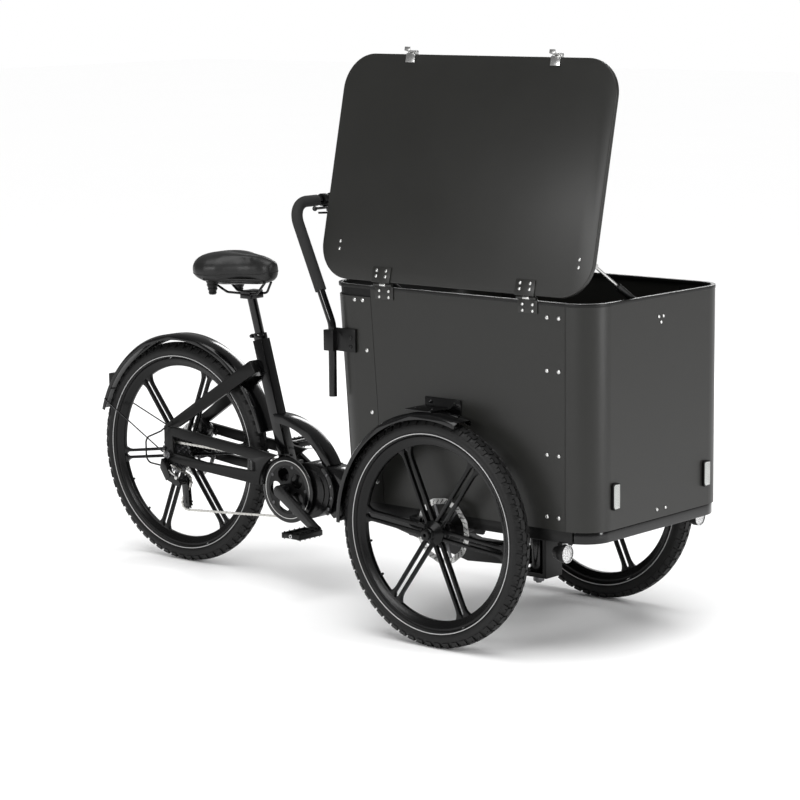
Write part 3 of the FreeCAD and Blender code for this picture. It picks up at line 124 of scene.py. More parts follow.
class Shade:
    def __init__(self, name):
        self.material = bpy.data.materials.new(name)
        self.material.use_nodes = True
        self.tree = self.material.node_tree
        self.tree.nodes.clear()

    def add(self, kind, settings=None, values=None, out=0):
        node = self.tree.nodes.new(kind)
        for key, value in (settings or {}).items():
            setattr(node, key, value)
        for key, value in (values or {}).items():
            socket = node.inputs[key]
            if isinstance(value, Term):
                self.tree.links.new(value.socket, socket)
            else:
                socket.default_value = value
        return Term(self, node.outputs[out])

    def place(self):
        return self.add("ShaderNodeTexCoord", out="Object")

    def split(self):
        node = self.add("ShaderNodeSeparateXYZ", None, {0: self.place()}).socket.node
        return [Term(self, node.outputs[i]) for i in range(3)]

    def noise(self, scale, detail=3.0, rough=0.5, vector=None):
        return self.add("ShaderNodeTexNoise", None, {"Vector": vector or self.place(), "Scale": scale,
                                                     "Detail": detail, "Roughness": rough})

    def cells(self, scale):
        return self.add("ShaderNodeTexVoronoi", None, {"Vector": self.place(), "Scale": scale})

    def mix(self, factor, a, b):
        return self.add("ShaderNodeMix", {"data_type": "RGBA"}, {"Factor": factor, 6: a, 7: b}, out=2)

    def bump(self, height, strength, distance=0.001):
        return self.add("ShaderNodeBump", None, {"Height": height, "Strength": strength,
                                                 "Distance": distance})

    def close(self, **values):
        shader = self.add("ShaderNodeBsdfPrincipled", None,
                          {k.replace("_", " "): v for k, v in values.items()})
        output = self.tree.nodes.new("ShaderNodeOutputMaterial")
        self.tree.links.new(shader.socket, output.inputs["Surface"])
        return self.material


def grey(value, alpha=1.0):
    return (value, value, value, alpha)


def paintMaterial(name, base, rough, coat=0.0, grain=900, depth=0.08, spread=0.25, shine=0.25):
    # painted or moulded surface: a fine grain, faint patches in the gloss
    s = Shade(name)
    patches = s.noise(3.5, 4, 0.6)
    fine = s.noise(grain, 2, 0.6)
    dark = tuple(c * (1 - spread) for c in base) + (1.0,)
    light = tuple(c * (1 + spread) for c in base) + (1.0,)
    return s.close(Base_Color=s.mix(patches, dark, light),
                   Roughness=rough + (patches - 0.5) * 0.12 + (fine - 0.5) * 0.06,
                   Coat_Weight=coat, Coat_Roughness=0.08, Specular_IOR_Level=shine,
                   Normal=s.bump(fine, depth, 0.0004))


def metalMaterial(name, base, rough, metal=1.0, brushed=(400, 400, 30)):
    s = Shade(name)
    stretched = s.add("ShaderNodeMapping", None, {"Vector": s.place(), "Scale": brushed})
    streaks = s.noise(1.0, 4, 0.65, stretched)
    smudge = s.noise(40, 3, 0.6)
    dark = tuple(c * 0.72 for c in base) + (1.0,)
    return s.close(Base_Color=s.mix(smudge, dark, tuple(base) + (1.0,)), Metallic=metal,
                   Roughness=rough + (streaks - 0.5) * 0.2, Normal=s.bump(streaks, 0.06, 0.0003))


def rubberMaterial():
    s = Shade("tyreRubber")
    dust = s.noise(14, 5, 0.65)
    pores = s.cells(700)
    return s.close(Base_Color=s.mix(dust, grey(0.0035), grey(0.008)),
                   Roughness=0.5 + (dust - 0.5) * 0.25, Specular_IOR_Level=0.25,
                   Normal=s.bump(pores, 0.12, 0.0004))


def stripeMaterial():
    s = Shade("reflexStripe")
    beads = s.cells(1500)
    wear = s.noise(30, 4, 0.6)
    return s.close(Base_Color=s.mix(wear, grey(0.34), grey(0.52)), Metallic=0.35,
                   Roughness=0.42 + (wear - 0.5) * 0.2,
                   Normal=s.bump(beads, 0.1, 0.0002))


def foamMaterial():
    s = Shade("foamGrip")
    pores = s.cells(900)
    soft = s.noise(90, 4, 0.6)
    return s.close(Base_Color=s.mix(soft, grey(0.012), grey(0.026)),
                   Roughness=0.82 + (soft - 0.5) * 0.15, Specular_IOR_Level=0.3,
                   Normal=s.bump(pores * 0.6 + soft * 0.6, 0.35, 0.0006))


def vinylMaterial():
    s = Shade("saddleVinyl")
    grain = s.cells(520)
    folds = s.noise(24, 4, 0.6)
    lines = s.noise(220, 3, 0.6)
    return s.close(Base_Color=s.mix(folds, grey(0.006), grey(0.012)),
                   Roughness=0.38 + (folds - 0.5) * 0.16,
                   Specular_IOR_Level=0.32, Normal=s.bump(grain * 0.7 + lines * 0.3, 0.22, 0.0006))


def lensMaterial():
    s = Shade("lampLens")
    ribs = s.cells(260)
    frost = s.noise(120, 3, 0.6)
    return s.close(Base_Color=s.mix(ribs, grey(0.25), grey(0.85)), Metallic=0.55,
                   Roughness=0.16 + ribs * 0.25,
                   Coat_Weight=0.8, Normal=s.bump(ribs + frost * 0.3, 0.5, 0.0012))


def reflectorMaterial(name, dark, light):
    s = Shade(name)
    y, z = s.split()[1:]
    weave = ((y * 900).math("SINE") * (z * 900).math("SINE")) * 0.5 + 0.5
    patches = s.noise(50, 3, 0.6)
    return s.close(Base_Color=s.mix(weave * 0.6 + patches * 0.3, dark + (1.0,), light + (1.0,)),
                   Roughness=0.18 + patches * 0.12, Coat_Weight=0.7, Normal=s.bump(weave, 0.35, 0.0006))


looks = {
    "gloss": paintMaterial("glossPaint", (0.0018, 0.0018, 0.002), 0.16, coat=0.12, shine=0.32,
                           grain=260, depth=0.03),
    "satin": paintMaterial("satinSteel", (0.003, 0.003, 0.003), 0.34, grain=700, depth=0.08),
    "panel": paintMaterial("boxPanel", (0.0125, 0.0125, 0.0112), 0.38, grain=1100, depth=0.08,
                           spread=0.1, shine=0.4),
    "inside": paintMaterial("boxInside", (0.004, 0.004, 0.0038), 0.6, grain=800, depth=0.15),
    "trim": paintMaterial("rimTrim", (0.006, 0.006, 0.0056), 0.34, grain=900, depth=0.08),
    "mag": paintMaterial("magAlloy", (0.0016, 0.0016, 0.0017), 0.26, shine=0.22, grain=900, depth=0.12),
    "alloy": paintMaterial("blackAlloy", (0.003, 0.003, 0.0032), 0.24, shine=0.4, grain=600, depth=0.1),
    "plastic": paintMaterial("blackPlastic", (0.0025, 0.0025, 0.0025), 0.36, grain=500, depth=0.2),
    "drum": paintMaterial("motorCase", (0.0025, 0.0025, 0.0026), 0.22, shine=0.32, grain=500,
                          depth=0.12),
    "steel": metalMaterial("brightSteel", (0.68, 0.68, 0.67), 0.28),
    "rotor": metalMaterial("rotorSteel", (0.60, 0.60, 0.59), 0.34, brushed=(900, 60, 900)),
    "chain": metalMaterial("chainSteel", (0.66, 0.65, 0.62), 0.3),
    "dark steel": metalMaterial("darkSteel", (0.16, 0.16, 0.165), 0.36),
    "rubber": rubberMaterial(),
    "stripe": stripeMaterial(),
    "foam": foamMaterial(),
    "vinyl": vinylMaterial(),
    "lens": lensMaterial(),
    "white lens": reflectorMaterial("whiteReflector", (0.22, 0.23, 0.22), (0.72, 0.73, 0.71)),
    "red lens": reflectorMaterial("redReflector", (0.10, 0.004, 0.004), (0.32, 0.012, 0.01)),
}
nodesByLook = {
    "gloss": ("bumper_rail", "front_mudguards", "handlebar", "seat_tube", "arch_tube", "neck_beam",
              "rear_mudguard", "seat_post"),
    "satin": ("cradle", "strut_tubes", "bar_clamps", "chain_stays", "seat_stays", "chainring"),
    "panel": ("box_front", "box_rear", "box_sides", "lid"),
    "inside": ("box_floor", "box_strips"),
    "trim": ("box_rim",),
    "steel": ("box_fittings", "lid_fittings", "latch_rear", "latch_front", "strut_rods"),
    "dark steel": ("king_pin", "cassette", "frame_bolts"),
    "alloy": ("front_calipers", "rear_caliper", "brake_lever_right", "brake_lever_left", "seat_lever",
              "derailleur", "crankset"),
    "plastic": ("bar_controls", "shift_lever", "gear_cable", "pedal_right", "pedal_left",
                "jockey_upper", "jockey_lower", "saddle_base"),
    "drum": ("motor",),
    "chain": ("chain",),
    "lens": ("headlights",),
    "white lens": ("front_reflectors",),
    "red lens": ("tail_light",),
    "foam": ("foam_grips",),
    "vinyl": ("saddle_cover",),
    "mag": ("rear_wheel", "front_wheel_right", "front_wheel_left"),
    "rubber": ("rear_tyre", "front_tyre_right", "front_tyre_left"),
    "rotor": ("front_rotor_right", "front_rotor_left", "rear_rotor"),
}
lookOf = {node: look for look, nodes in nodesByLook.items() for node in nodes}
for nodeName, lookName in lookOf.items():
    mesh = frame["nodes"][nodeName].data
    mesh.materials.clear()
    mesh.materials.append(looks[lookName])
print("stage: materials")


# mesh helpers, all in millimetres
def addPrism(bm, outline, axis, low, high):
    # an outline extruded along an axis; outline holds the other two coordinates in order
    def spot(pair, level):
        a, b = pair
        return {"x": (level, a, b), "y": (a, level, b), "z": (a, b, level)}[axis]
    lower = [bm.verts.new(spot(p, low)) for p in outline]
    upper = [bm.verts.new(spot(p, high)) for p in outline]
    bm.faces.new(lower)
    bm.faces.new(list(reversed(upper)))
    for i in range(len(outline)):
        j = (i + 1) % len(outline)
        bm.faces.new((lower[j], lower[i], upper[i], upper[j]))
    return lower + upper


def addBlock(bm, x0, x1, y0, y1, z0, z1):
    return addPrism(bm, [(x0, z0), (x1, z0), (x1, z1), (x0, z1)], "y", min(y0, y1), max(y0, y1))


def bridge(bm, rings, closed=False):
    # faces between each ring of points and the next
    pairs = list(zip(rings, rings[1:])) + ([(rings[-1], rings[0])] if closed else [])
    for one, two in pairs:
        for k in range(len(one)):
            m = (k + 1) % len(one)
            bm.faces.new((one[k], one[m], two[m], two[k]))
    if not closed:
        bm.faces.new(list(reversed(rings[0])))
        bm.faces.new(rings[-1])
    return [v for ring in rings for v in ring]


def addLathe(bm, profile, centre, steps=96):
    # a full turn about Y; profile is a closed line of (offset along Y, radius)
    x, y, z = centre
    rings = []
    for i in range(steps):
        a = math.tau * i / steps
        rings.append([bm.verts.new((x + r * math.cos(a), y + w, z + r * math.sin(a)))
                      for w, r in profile])
    return bridge(bm, rings, closed=True)


def addRound(bm, centre, along, profile, sides=28):
    # a turned shape about any direction; profile is (distance along, radius), closed at both ends
    centre, along = Vector(centre), Vector(along).normalized()
    side = along.orthogonal().normalized()
    other = along.cross(side)
    rings = []
    turns = [math.tau * i / sides for i in range(sides)]
    for d, r in profile:
        rings.append([bm.verts.new(centre + along * d + side * (r * math.cos(a)) + other * (r * math.sin(a)))
                      for a in turns])
    return bridge(bm, rings)


def addRod(bm, a, b, radius, sides=24, endRadius=None):
    a, b = Vector(a), Vector(b)
    return addRound(bm, a, b - a, [(0, radius), ((b - a).length, endRadius or radius)], sides)


def turnVerts(bm, verts, centre, axis, degrees):
    bmesh.ops.rotate(bm, verts=verts, cent=Vector(centre),
                     matrix=Matrix.Rotation(math.radians(degrees), 3, axis))


def addLoop(bm, path, section):
    # section is a list of (sideways, upward) pairs carried along a closed path
    path = [Vector(p) for p in path]
    rings = []
    for i, point in enumerate(path):
        way = (path[(i + 1) % len(path)] - path[i - 1]).normalized()
        side = way.cross(Vector((0, 0, 1))).normalized()
        lift = side.cross(way)
        rings.append([bm.verts.new(point + side * a + lift * b) for a, b in section])
    bridge(bm, rings, closed=True)


def circleSection(radius, sides=20):
    return [(radius * math.cos(math.tau * i / sides),
             radius * math.sin(math.tau * i / sides)) for i in range(sides)]


def newObject(name, bm, unit=toFrame):
    # an object from a mesh in millimetres, which is used up
    for vert in bm.verts:
        vert.co = unit(vert.co)
    mesh = bpy.data.meshes.new(name)
    bm.to_mesh(mesh)
    bm.free()
    return linkNew(name, mesh)


def bakeModifiers(piece):
    graph = bpy.context.evaluated_depsgraph_get()
    mesh = bpy.data.meshes.new_from_object(piece.evaluated_get(graph))
    piece.modifiers.clear()
    piece.data = mesh


def finishPiece(name, bm, look, node, replacing=False, bevel=0.0, sharp=35, merge=0.01):
    bmesh.ops.remove_doubles(bm, verts=bm.verts, dist=merge)
    bmesh.ops.recalc_face_normals(bm, faces=bm.faces)
    piece = newObject(name, bm)
    for one in ([look] if isinstance(look, str) else look):
        piece.data.materials.append(looks[one])
    if bevel:
        modifier = piece.modifiers.new("edges", "BEVEL")
        modifier.width = bevel / 1000
        modifier.segments = 2
        modifier.limit_method = "ANGLE"
        modifier.angle_limit = math.radians(32)
        modifier.use_clamp_overlap = True
        bakeModifiers(piece)
    piece.data.shade_smooth()
    piece.data.set_sharp_from_angle(angle=math.radians(sharp))
    settle(piece, node, replacing)
    return piece


def settle(piece, node, replacing):
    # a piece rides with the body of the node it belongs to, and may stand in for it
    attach(piece, bodyOf[node])
    if replacing:
        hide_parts(node)


# geometry nodes: one mesh repeated at points that carry a direction
def repeatTree(name, unit, material):
    tree = bpy.data.node_groups.new(name, "GeometryNodeTree")
    face = tree.interface
    face.new_socket("Geometry", in_out="INPUT", socket_type="NodeSocketGeometry")
    face.new_socket("Geometry", in_out="OUTPUT", socket_type="NodeSocketGeometry")
    new = tree.nodes.new
    start, end = new("NodeGroupInput"), new("NodeGroupOutput")
    shape = new("GeometryNodeObjectInfo")
    shape.inputs["Object"].default_value = unit
    facing, upward = new("GeometryNodeInputNamedAttribute"), new("GeometryNodeInputNamedAttribute")
    for node, attribute in ((facing, "facing"), (upward, "upward")):
        node.data_type = "FLOAT_VECTOR"
        node.inputs["Name"].default_value = attribute
    alignZ, alignX = new("FunctionNodeAlignRotationToVector"), new("FunctionNodeAlignRotationToVector")
    alignZ.axis, alignX.axis, alignX.pivot_axis = "Z", "X", "Z"
    onPoints, real, paint = (new("GeometryNode" + kind) for kind in (
        "InstanceOnPoints", "RealizeInstances", "SetMaterial"))
    paint.inputs["Material"].default_value = material
    for source, target in (
            (facing.outputs[0], alignZ.inputs["Vector"]),
            (alignZ.outputs[0], alignX.inputs["Rotation"]),
            (upward.outputs[0], alignX.inputs["Vector"]),
            (start.outputs["Geometry"], onPoints.inputs["Points"]),
            (shape.outputs["Geometry"], onPoints.inputs["Instance"]),
            (alignX.outputs[0], onPoints.inputs["Rotation"]),
            (onPoints.outputs[0], real.inputs[0]),
            (real.outputs[0], paint.inputs[0]),
            (paint.outputs[0], end.inputs[0])):
        tree.links.new(source, target)
    return tree


def repeatUnit(name, buildUnit, spots, look, node, replacing=False):
    # spots are (place, facing, upward) in millimetres; the unit is drawn about its own origin
    bm = bmesh.new()
    buildUnit(bm)
    bmesh.ops.recalc_face_normals(bm, faces=bm.faces)
    unit = newObject(name + "Unit", bm, lambda point: point / 1000)
    unit.data.shade_smooth()
    unit.data.set_sharp_from_angle(angle=math.radians(35))
    points = bpy.data.meshes.new(name)
    points.from_pydata([toFrame(spot[0]) for spot in spots], [], [])
    for index, attribute in ((1, "facing"), (2, "upward")):
        layer = points.attributes.new(attribute, "FLOAT_VECTOR", "POINT")
        for item, spot in zip(layer.data, spots):
            item.vector = Vector(spot[index]).normalized()
    piece = linkNew(name, points)
    modifier = piece.modifiers.new("repeat", "NODES")
    modifier.node_group = repeatTree(name + "Tree", unit, looks[look])
    bakeModifiers(piece)
    bpy.data.objects.remove(unit)
    if not piece.data.materials:
        piece.data.materials.append(looks[look])
    settle(piece, node, replacing)


# floor and light, in metres and watts
studio = {
    "ambient": 0.24, "overhead": 2.7, "overheadSpread": 60, "overheadTurn": (12, 8, 0),
    "floorHalf": 30, "floorZ": -0.0005, "floorTone": (0.97, 0.98), "aimZ": 0.6,
    "lamps": {
        "front": ((4.6, 0.5, 1.7), (0.7, 2.6), 75),
        "side": ((0.1, -4.6, 2.0), (2.6, 0.35), 75),
        "back": ((-1.8, 4.4, 2.6), (3.0, 1.0), 60),
    },
}


def makeStudio():
    floorShade = Shade("studioFloor")
    patches = floorShade.noise(0.6, 2, 0.5)
    tone = floorShade.mix(patches, *(grey(value) for value in studio["floorTone"]))
    floorMaterial = floorShade.close(Base_Color=tone, Roughness=0.8)
    bm = bmesh.new()
    bmesh.ops.create_grid(bm, x_segments=2, y_segments=2, size=studio["floorHalf"])
    floor = newObject("studioFloor", bm, lambda point: point)
    floor.data.materials.append(floorMaterial)
    floor.location.z = studio["floorZ"]
    world = bpy.data.worlds.new("studio")
    bpy.context.scene.world = world
    world.use_nodes = True
    tree = world.node_tree
    tree.nodes.clear()
    seen, around, path, blend, out = (tree.nodes.new("ShaderNode" + kind) for kind in (
        "Background", "Background", "LightPath", "MixShader", "OutputWorld"))
    seen.inputs["Color"].default_value = grey(1.0)
    around.inputs["Color"].default_value = grey(1.0)
    around.inputs["Strength"].default_value = studio["ambient"]
    tree.links.new(path.outputs["Is Camera Ray"], blend.inputs["Fac"])
    tree.links.new(around.outputs[0], blend.inputs[1])
    tree.links.new(seen.outputs[0], blend.inputs[2])
    tree.links.new(blend.outputs[0], out.inputs["Surface"])
    sunLight = bpy.data.lights.new("overhead", "SUN")
    sunLight.energy = studio["overhead"]
    sunLight.angle = math.radians(studio["overheadSpread"])
    sun = linkNew("overhead", sunLight)
    sun.rotation_euler = [math.radians(a) for a in studio["overheadTurn"]]
    target = Vector((0, 0, studio["aimZ"]))
    for name, (place, size, power) in studio["lamps"].items():
        light = bpy.data.lights.new(name, "AREA")
        light.shape = "RECTANGLE"
        light.size, light.size_y = size
        light.energy = power
        lamp = linkNew(name, light)
        lamp.location = place
        lamp.rotation_euler = (target - Vector(place)).to_track_quat("-Z", "Y").to_euler()


makeStudio()
bpy.context.scene.view_settings.view_transform = "Standard"
print("stage: studio")


# wheels
wheelSizes = {
    "tyreHeight": 46, "tyreHalf": 25, "treadDepth": 3.6, "stripeIn": 40, "stripeHalf": 1.3,
    "rimHalf": 15, "rimDepth": 25, "hub": 34, "frontLong": 64, "rearLong": 70,
    "frontBore": 8.5, "rearBore": 6.0, "barWide": 8, "slot": 13, "flare": 17, "spokes": 6,
    "spokeHalf": 6, "frontLead": -5.5, "rearLead": 8.0, "valveR": 3.6, "valveLong": 12,
    "valveAt": (222, 198), "round": 128,
}
# each row of blocks: distance from the middle, tilt outwards, start, depth below the tread
treadRows = {
    "count": 62, "centreLong": 24, "centreWide": 12.5, "edgeLong": 21, "edgeWide": 15,
    "rows": (("Middle", -7.2, 9, 0.0, 2.2), ("Middle", 7.2, -9, 0.5, 2.2),
             ("Edge", -19.0, 56, 0.22, 9.6), ("Edge", 19.0, -56, 0.72, 9.6)),
}


def tyreProfile(r):
    s = wheelSizes
    w, bead, base = s["tyreHalf"] - 0.6, r - s["tyreHeight"], r - s["treadDepth"]
    outer = [(-14, bead), (-17, bead + 3)]
    for i in range(15):
        a = math.radians(205 - 230 * i / 14)
        outer.append((w * math.cos(a), max(bead + 5, base - 22.5 + 22.5 * math.sin(a))))
    outer += [(17, bead + 3), (14, bead)]
    inner = [(10, bead), (w - 5, bead + 18), (w - 7, base - 14), (0, base - 6), (-w + 7, base - 14),
             (-w + 5, bead + 18), (-10, bead)]
    return outer + inner


def makeTyre(name, x, y, r):
    s, t = wheelSizes, treadRows
    bm = bmesh.new()
    addLathe(bm, tyreProfile(r), (x, y, r), s["round"])
    finishPiece(name + "Body", bm, "rubber", name, True, sharp=50)
    bm = bmesh.new()
    at, half = r - s["stripeIn"], s["stripeHalf"]
    for side in (-1, 1):
        low = side * (s["tyreHalf"] - 1.6)
        high = low + side * 0.7
        addLathe(bm, [(low, at - half), (low, at + half), (high, at + half * 0.7), (high, at - half * 0.7)],
                 (x, y, r), s["round"])
    finishPiece(name + "Stripe", bm, "stripe", name)
    spots = {"Middle": [], "Edge": []}
    for i in range(t["count"]):
        for row, w, tilt, phase, sunk in t["rows"]:
            a, lift = math.tau * (i + phase) / t["count"], math.radians(tilt)
            radial = Vector((math.cos(a), 0, math.sin(a)))
            along = Vector((-math.sin(a), 0, math.cos(a)))
            out = radial * math.cos(lift) - Vector((0, 1, 0)) * math.sin(lift)
            spots[row].append((Vector((x, y + w, r)) + radial * (r - sunk), out, along))

    def middleBlock(bm):
        long, wide = t["centreLong"] / 2, t["centreWide"] / 2
        addPrism(bm, [(-long, -wide), (long - 3, -wide), (long, 0), (long - 2, wide),
                      (-long + 2, wide), (-long - 1, 0)], "z", -3.6, 1.1)

    def edgeBlock(bm):
        long, wide = t["edgeLong"] / 2, t["edgeWide"] / 2
        addPrism(bm, [(-long, -wide), (-1.2, -wide), (-1.2, -wide + 5), (1.2, -wide + 5), (1.2, -wide),
                      (long - 2, -wide), (long, wide), (-long + 2, wide)], "z", -3.0, 1.0)

    repeatUnit(name + "TreadMiddle", middleBlock, spots["Middle"], "rubber", name)
    repeatUnit(name + "TreadEdge", edgeBlock, spots["Edge"], "rubber", name)


def spokeBar(bm, x, y, r, side, low, lead, half):
    # one of the two bars of a spoke, flared where it meets the rim
    s = wheelSizes
    inner, outer = s["slot"] / 2, s["slot"] / 2 + s["barWide"]
    start, flare, tip = s["hub"] - 8, low - 34, low + 5
    edge = [(start, side * inner), (start, side * (outer + 1)), (flare, side * outer)]
    for i in range(1, 7):
        a = i / 6
        edge.append((flare + (tip - flare) * a, side * (outer + s["flare"] * a * a * a)))
    edge += [(tip, side * inner * 0.2), (low - 3, side * inner * 0.3), (low - 9, side * inner)]
    verts = addPrism(bm, [(x + a, r + b) for a, b in edge], "y", y - half, y + half)
    turnVerts(bm, verts, (x, y, r), "Y", -lead)


def makeMag(name, x, y, r, hubLong, boreR, lead):
    s = wheelSizes
    seat = r - s["tyreHeight"] - 0.4
    low, w = seat - s["rimDepth"], s["rimHalf"]
    bm = bmesh.new()
    profile = [(-w, seat), (-w + 2, seat - 0.5), (-w + 3.5, seat - 4), (w - 3.5, seat - 4),
               (w - 2, seat - 0.5), (w, seat), (w, seat - 6), (w - 1.5, seat - 10), (w - 5.5, seat - 15),
               (7.5, low + 1.5), (5, low), (-5, low), (-7.5, low + 1.5), (-w + 5.5, seat - 15),
               (-w + 1.5, seat - 10), (-w, seat - 6)]
    addLathe(bm, profile, (x, y, r), s["round"])
    for i in range(s["spokes"]):
        for side in (-1, 1):
            spokeBar(bm, x, y, r, side, low, lead + i * 360 / s["spokes"], s["spokeHalf"])
    for a in s["valveAt"]:
        verts = addRod(bm, (x + low + 2, y, r), (x + low + 2 - s["valveLong"], y, r), s["valveR"], 12,
                       s["valveR"] - 0.4)
        turnVerts(bm, verts, (x, y, r), "Y", -a - lead)
    half, bore, hubR = hubLong / 2, boreR + 1.2, s["hub"]
    turned = [(half, bore), (half, 15), (half - 2, 17), (half - 9, 18), (half - 13, 22), (12, hubR - 6),
              (8, hubR - 1), (7, hubR)]
    hub = [(-w, q) for w, q in turned] + list(reversed(turned))
    addLathe(bm, hub, (x, y, r), 64)
    finishPiece(name + "Cast", bm, "mag", name, True, bevel=1.6, sharp=40)


rotorSizes = {
    "width": 15, "thick": 2, "waves": 12, "waveDepth": 2.4, "holes": 36, "arms": 6, "steps": 180,
    "ventAt": (4.5, 8.2, 12), "ventLean": 0.04, "ventSize": (2.47, 1.5),
}


def makeRotor(name, x, y, r, outer):
    z = rotorSizes
    thick = z["thick"] / 2

    def wave(a):
        return z["waveDepth"] * (0.5 + 0.5 * math.sin(a * z["waves"]))

    bm = bmesh.new()
    rings = []
    for i in range(z["steps"]):
        a = math.tau * i / z["steps"]
        low, high = outer - z["width"] - wave(a) * 0.8, outer - wave(a)
        rings.append([bm.verts.new((x + q * math.cos(a), y + d, r + q * math.sin(a)))
                      for q, d in ((low, -thick), (high, -thick), (high, thick), (low, thick))])
    bridge(bm, rings, closed=True)
    finishPiece(name + "Band", bm, "rotor", name, True, sharp=40)
    bm = bmesh.new()
    tip = x + outer - z["width"]
    for i in range(z["arms"]):
        arm = addPrism(bm, [(x + 18, r - 6), (tip - 1, r - 15), (tip + 1, r - 8), (x + 20, r + 4)],
                       "y", y - thick, y + thick)
        turnVerts(bm, arm, (x, y, r), "Y", -360 / z["arms"] * i)
    addLathe(bm, [(-thick, 10), (-thick, 26), (thick, 26), (thick, 10)], (x, y, r), 48)
    finishPiece(name + "Spider", bm, "dark steel", name)
    spots = []
    for i in range(z["holes"]):
        for k, sunk in enumerate(z["ventAt"]):
            a = math.tau * i / z["holes"] + z["ventLean"] * k
            radial = Vector((math.cos(a), 0, math.sin(a)))
            for face in (-1, 1):
                place = Vector((x, y + face * thick, r)) + radial * (outer - sunk - wave(a))
                spots.append((place, (0, face, 0), radial))

    def vent(bm):
        long, wide = z["ventSize"]
        turns = [math.tau * i / 8 for i in range(8)]
        addPrism(bm, [(long * math.cos(a), wide * math.sin(a)) for a in turns], "z", -0.4, 0.08)

    repeatUnit(name + "Vents", vent, spots, "satin", name)


def makeWheel(end, side, x, y, r):
    s = wheelSizes
    rotor = end + "_rotor" + side
    makeTyre(end + "_tyre" + side, x, y, r)
    makeMag(end + "_wheel" + side, x, y, r, s[end + "Long"], s[end + "Bore"], s[end + "Lead"])
    low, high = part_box(rotor)
    makeRotor(rotor, x, 500 * (low.y + high.y), r, 500 * (high.z - low.z))


makeWheel("front", "_right", 0, -halfTrack, frontR)
makeWheel("front", "_left", 0, halfTrack, frontR)
makeWheel("rear", "", rearX, 0, rearR)
print("stage: wheels")


# the machine's own plates and tubes, with softened edges
def islands(bm):
    # every loose solid of a mesh, as lists of faces
    seen, groups = set(), []
    for face in bm.faces:
        if face in seen:
            continue
        group, queue = [], [face]
        seen.add(face)
        while queue:
            one = queue.pop()
            group.append(one)
            for edge in one.edges:
                for other in edge.link_faces:
                    if other not in seen:
                        seen.add(other)
                        queue.append(other)
        groups.append(group)
    return groups


def dressNode(node, width, look=None, choose=None):
    # a copy of a node's mesh, merged, with rounded edges; choose gives a look for each face
    bm = bmesh.new()
    bm.from_mesh(frame["nodes"][node].data)
    for vert in bm.verts:
        vert.co = fromFrame(vert.co)
    bmesh.ops.remove_doubles(bm, verts=bm.verts, dist=0.004)
    bmesh.ops.dissolve_limit(bm, angle_limit=math.radians(0.6), verts=bm.verts, edges=bm.edges)
    for group in islands(bm) if choose else ():
        points = [v.co for face in group for v in face.verts]
        low, high = (Vector([end(p[i] for p in points) for i in range(3)]) for end in (min, max))
        for face in group:
            face.material_index = choose(face.calc_center_median(), low, high, face.normal)
    finishPiece(node + "Shell", bm, look or lookOf[node], node, True, bevel=width, sharp=38,
                merge=0.002)


softEdges = {
    "neck_beam": 2.0, "arch_tube": 3.0, "chain_stays": 2.0, "seat_stays": 2.0, "seat_tube": 3.0,
    "motor": 1.5, "crankset": 1.5, "bar_clamps": 1.0, "front_calipers": 1.0, "rear_caliper": 1.0,
    "derailleur": 0.8, "bar_controls": 1.2, "brake_lever_right": 0.8, "brake_lever_left": 0.8,
    "shift_lever": 0.8, "seat_lever": 0.8, "lid": 2.0, "box_rim": 1.0, "cradle": 1.2,
    "bumper_rail": 1.2, "king_pin": 1.0, "front_mudguards": 0.6, "rear_mudguard": 0.6,
}
for nodeName, width in softEdges.items():
    dressNode(nodeName, width)
print("stage: plates and tubes")

hingeSizes = {"y": -306.0, "z": 931.0, "reach": 6.4, "knuckle": 15, "leafWide": 40, "leafDeep": 60}


def hingeLook(centre, low, high, normal):
    # the leaves are painted with the panel, the knuckles and rivets are bright
    s, size = hingeSizes, high - low
    if size.x <= s["leafWide"] or min(size.y, size.z) >= s["leafDeep"]:
        return 0
    away = math.hypot(centre.y - s["y"], centre.z - s["z"])
    bright = away < s["reach"] and abs(centre.x - (low.x + high.x) / 2) < s["knuckle"]
    return 0 if bright else 1


def tailLook(centre, low, high, normal):
    # black case, red only on the face that looks back
    return 1 if normal.x < -0.8 and centre.x < low.x + 4 else 0


def lampLook(centre, low, high, normal):
    # black cup, clear front
    return 1 if normal.x > 0.35 and centre.x > high.x - 14 else 0


for nodeName in ("box_fittings", "lid_fittings"):
    dressNode(nodeName, 0.35, ("steel", "panel"), hingeLook)
for nodeName in ("latch_rear", "latch_front"):
    dressNode(nodeName, 0.5)
dressNode("tail_light", 2.0, ("plastic", "red lens"), tailLook)
dressNode("headlights", 0.8, ("plastic", "lens"), lampLook)
dressNode("frame_bolts", 0.5)
dressNode("foam_grips", 1.0)
print("stage: fittings and lamps")

reflectorSizes = {
    "wide": 34, "case": 3.0, "lens": 6.5, "slant": 5, "ribs": 5, "ribHalf": 1.1, "ribHigh": 0.9,
}


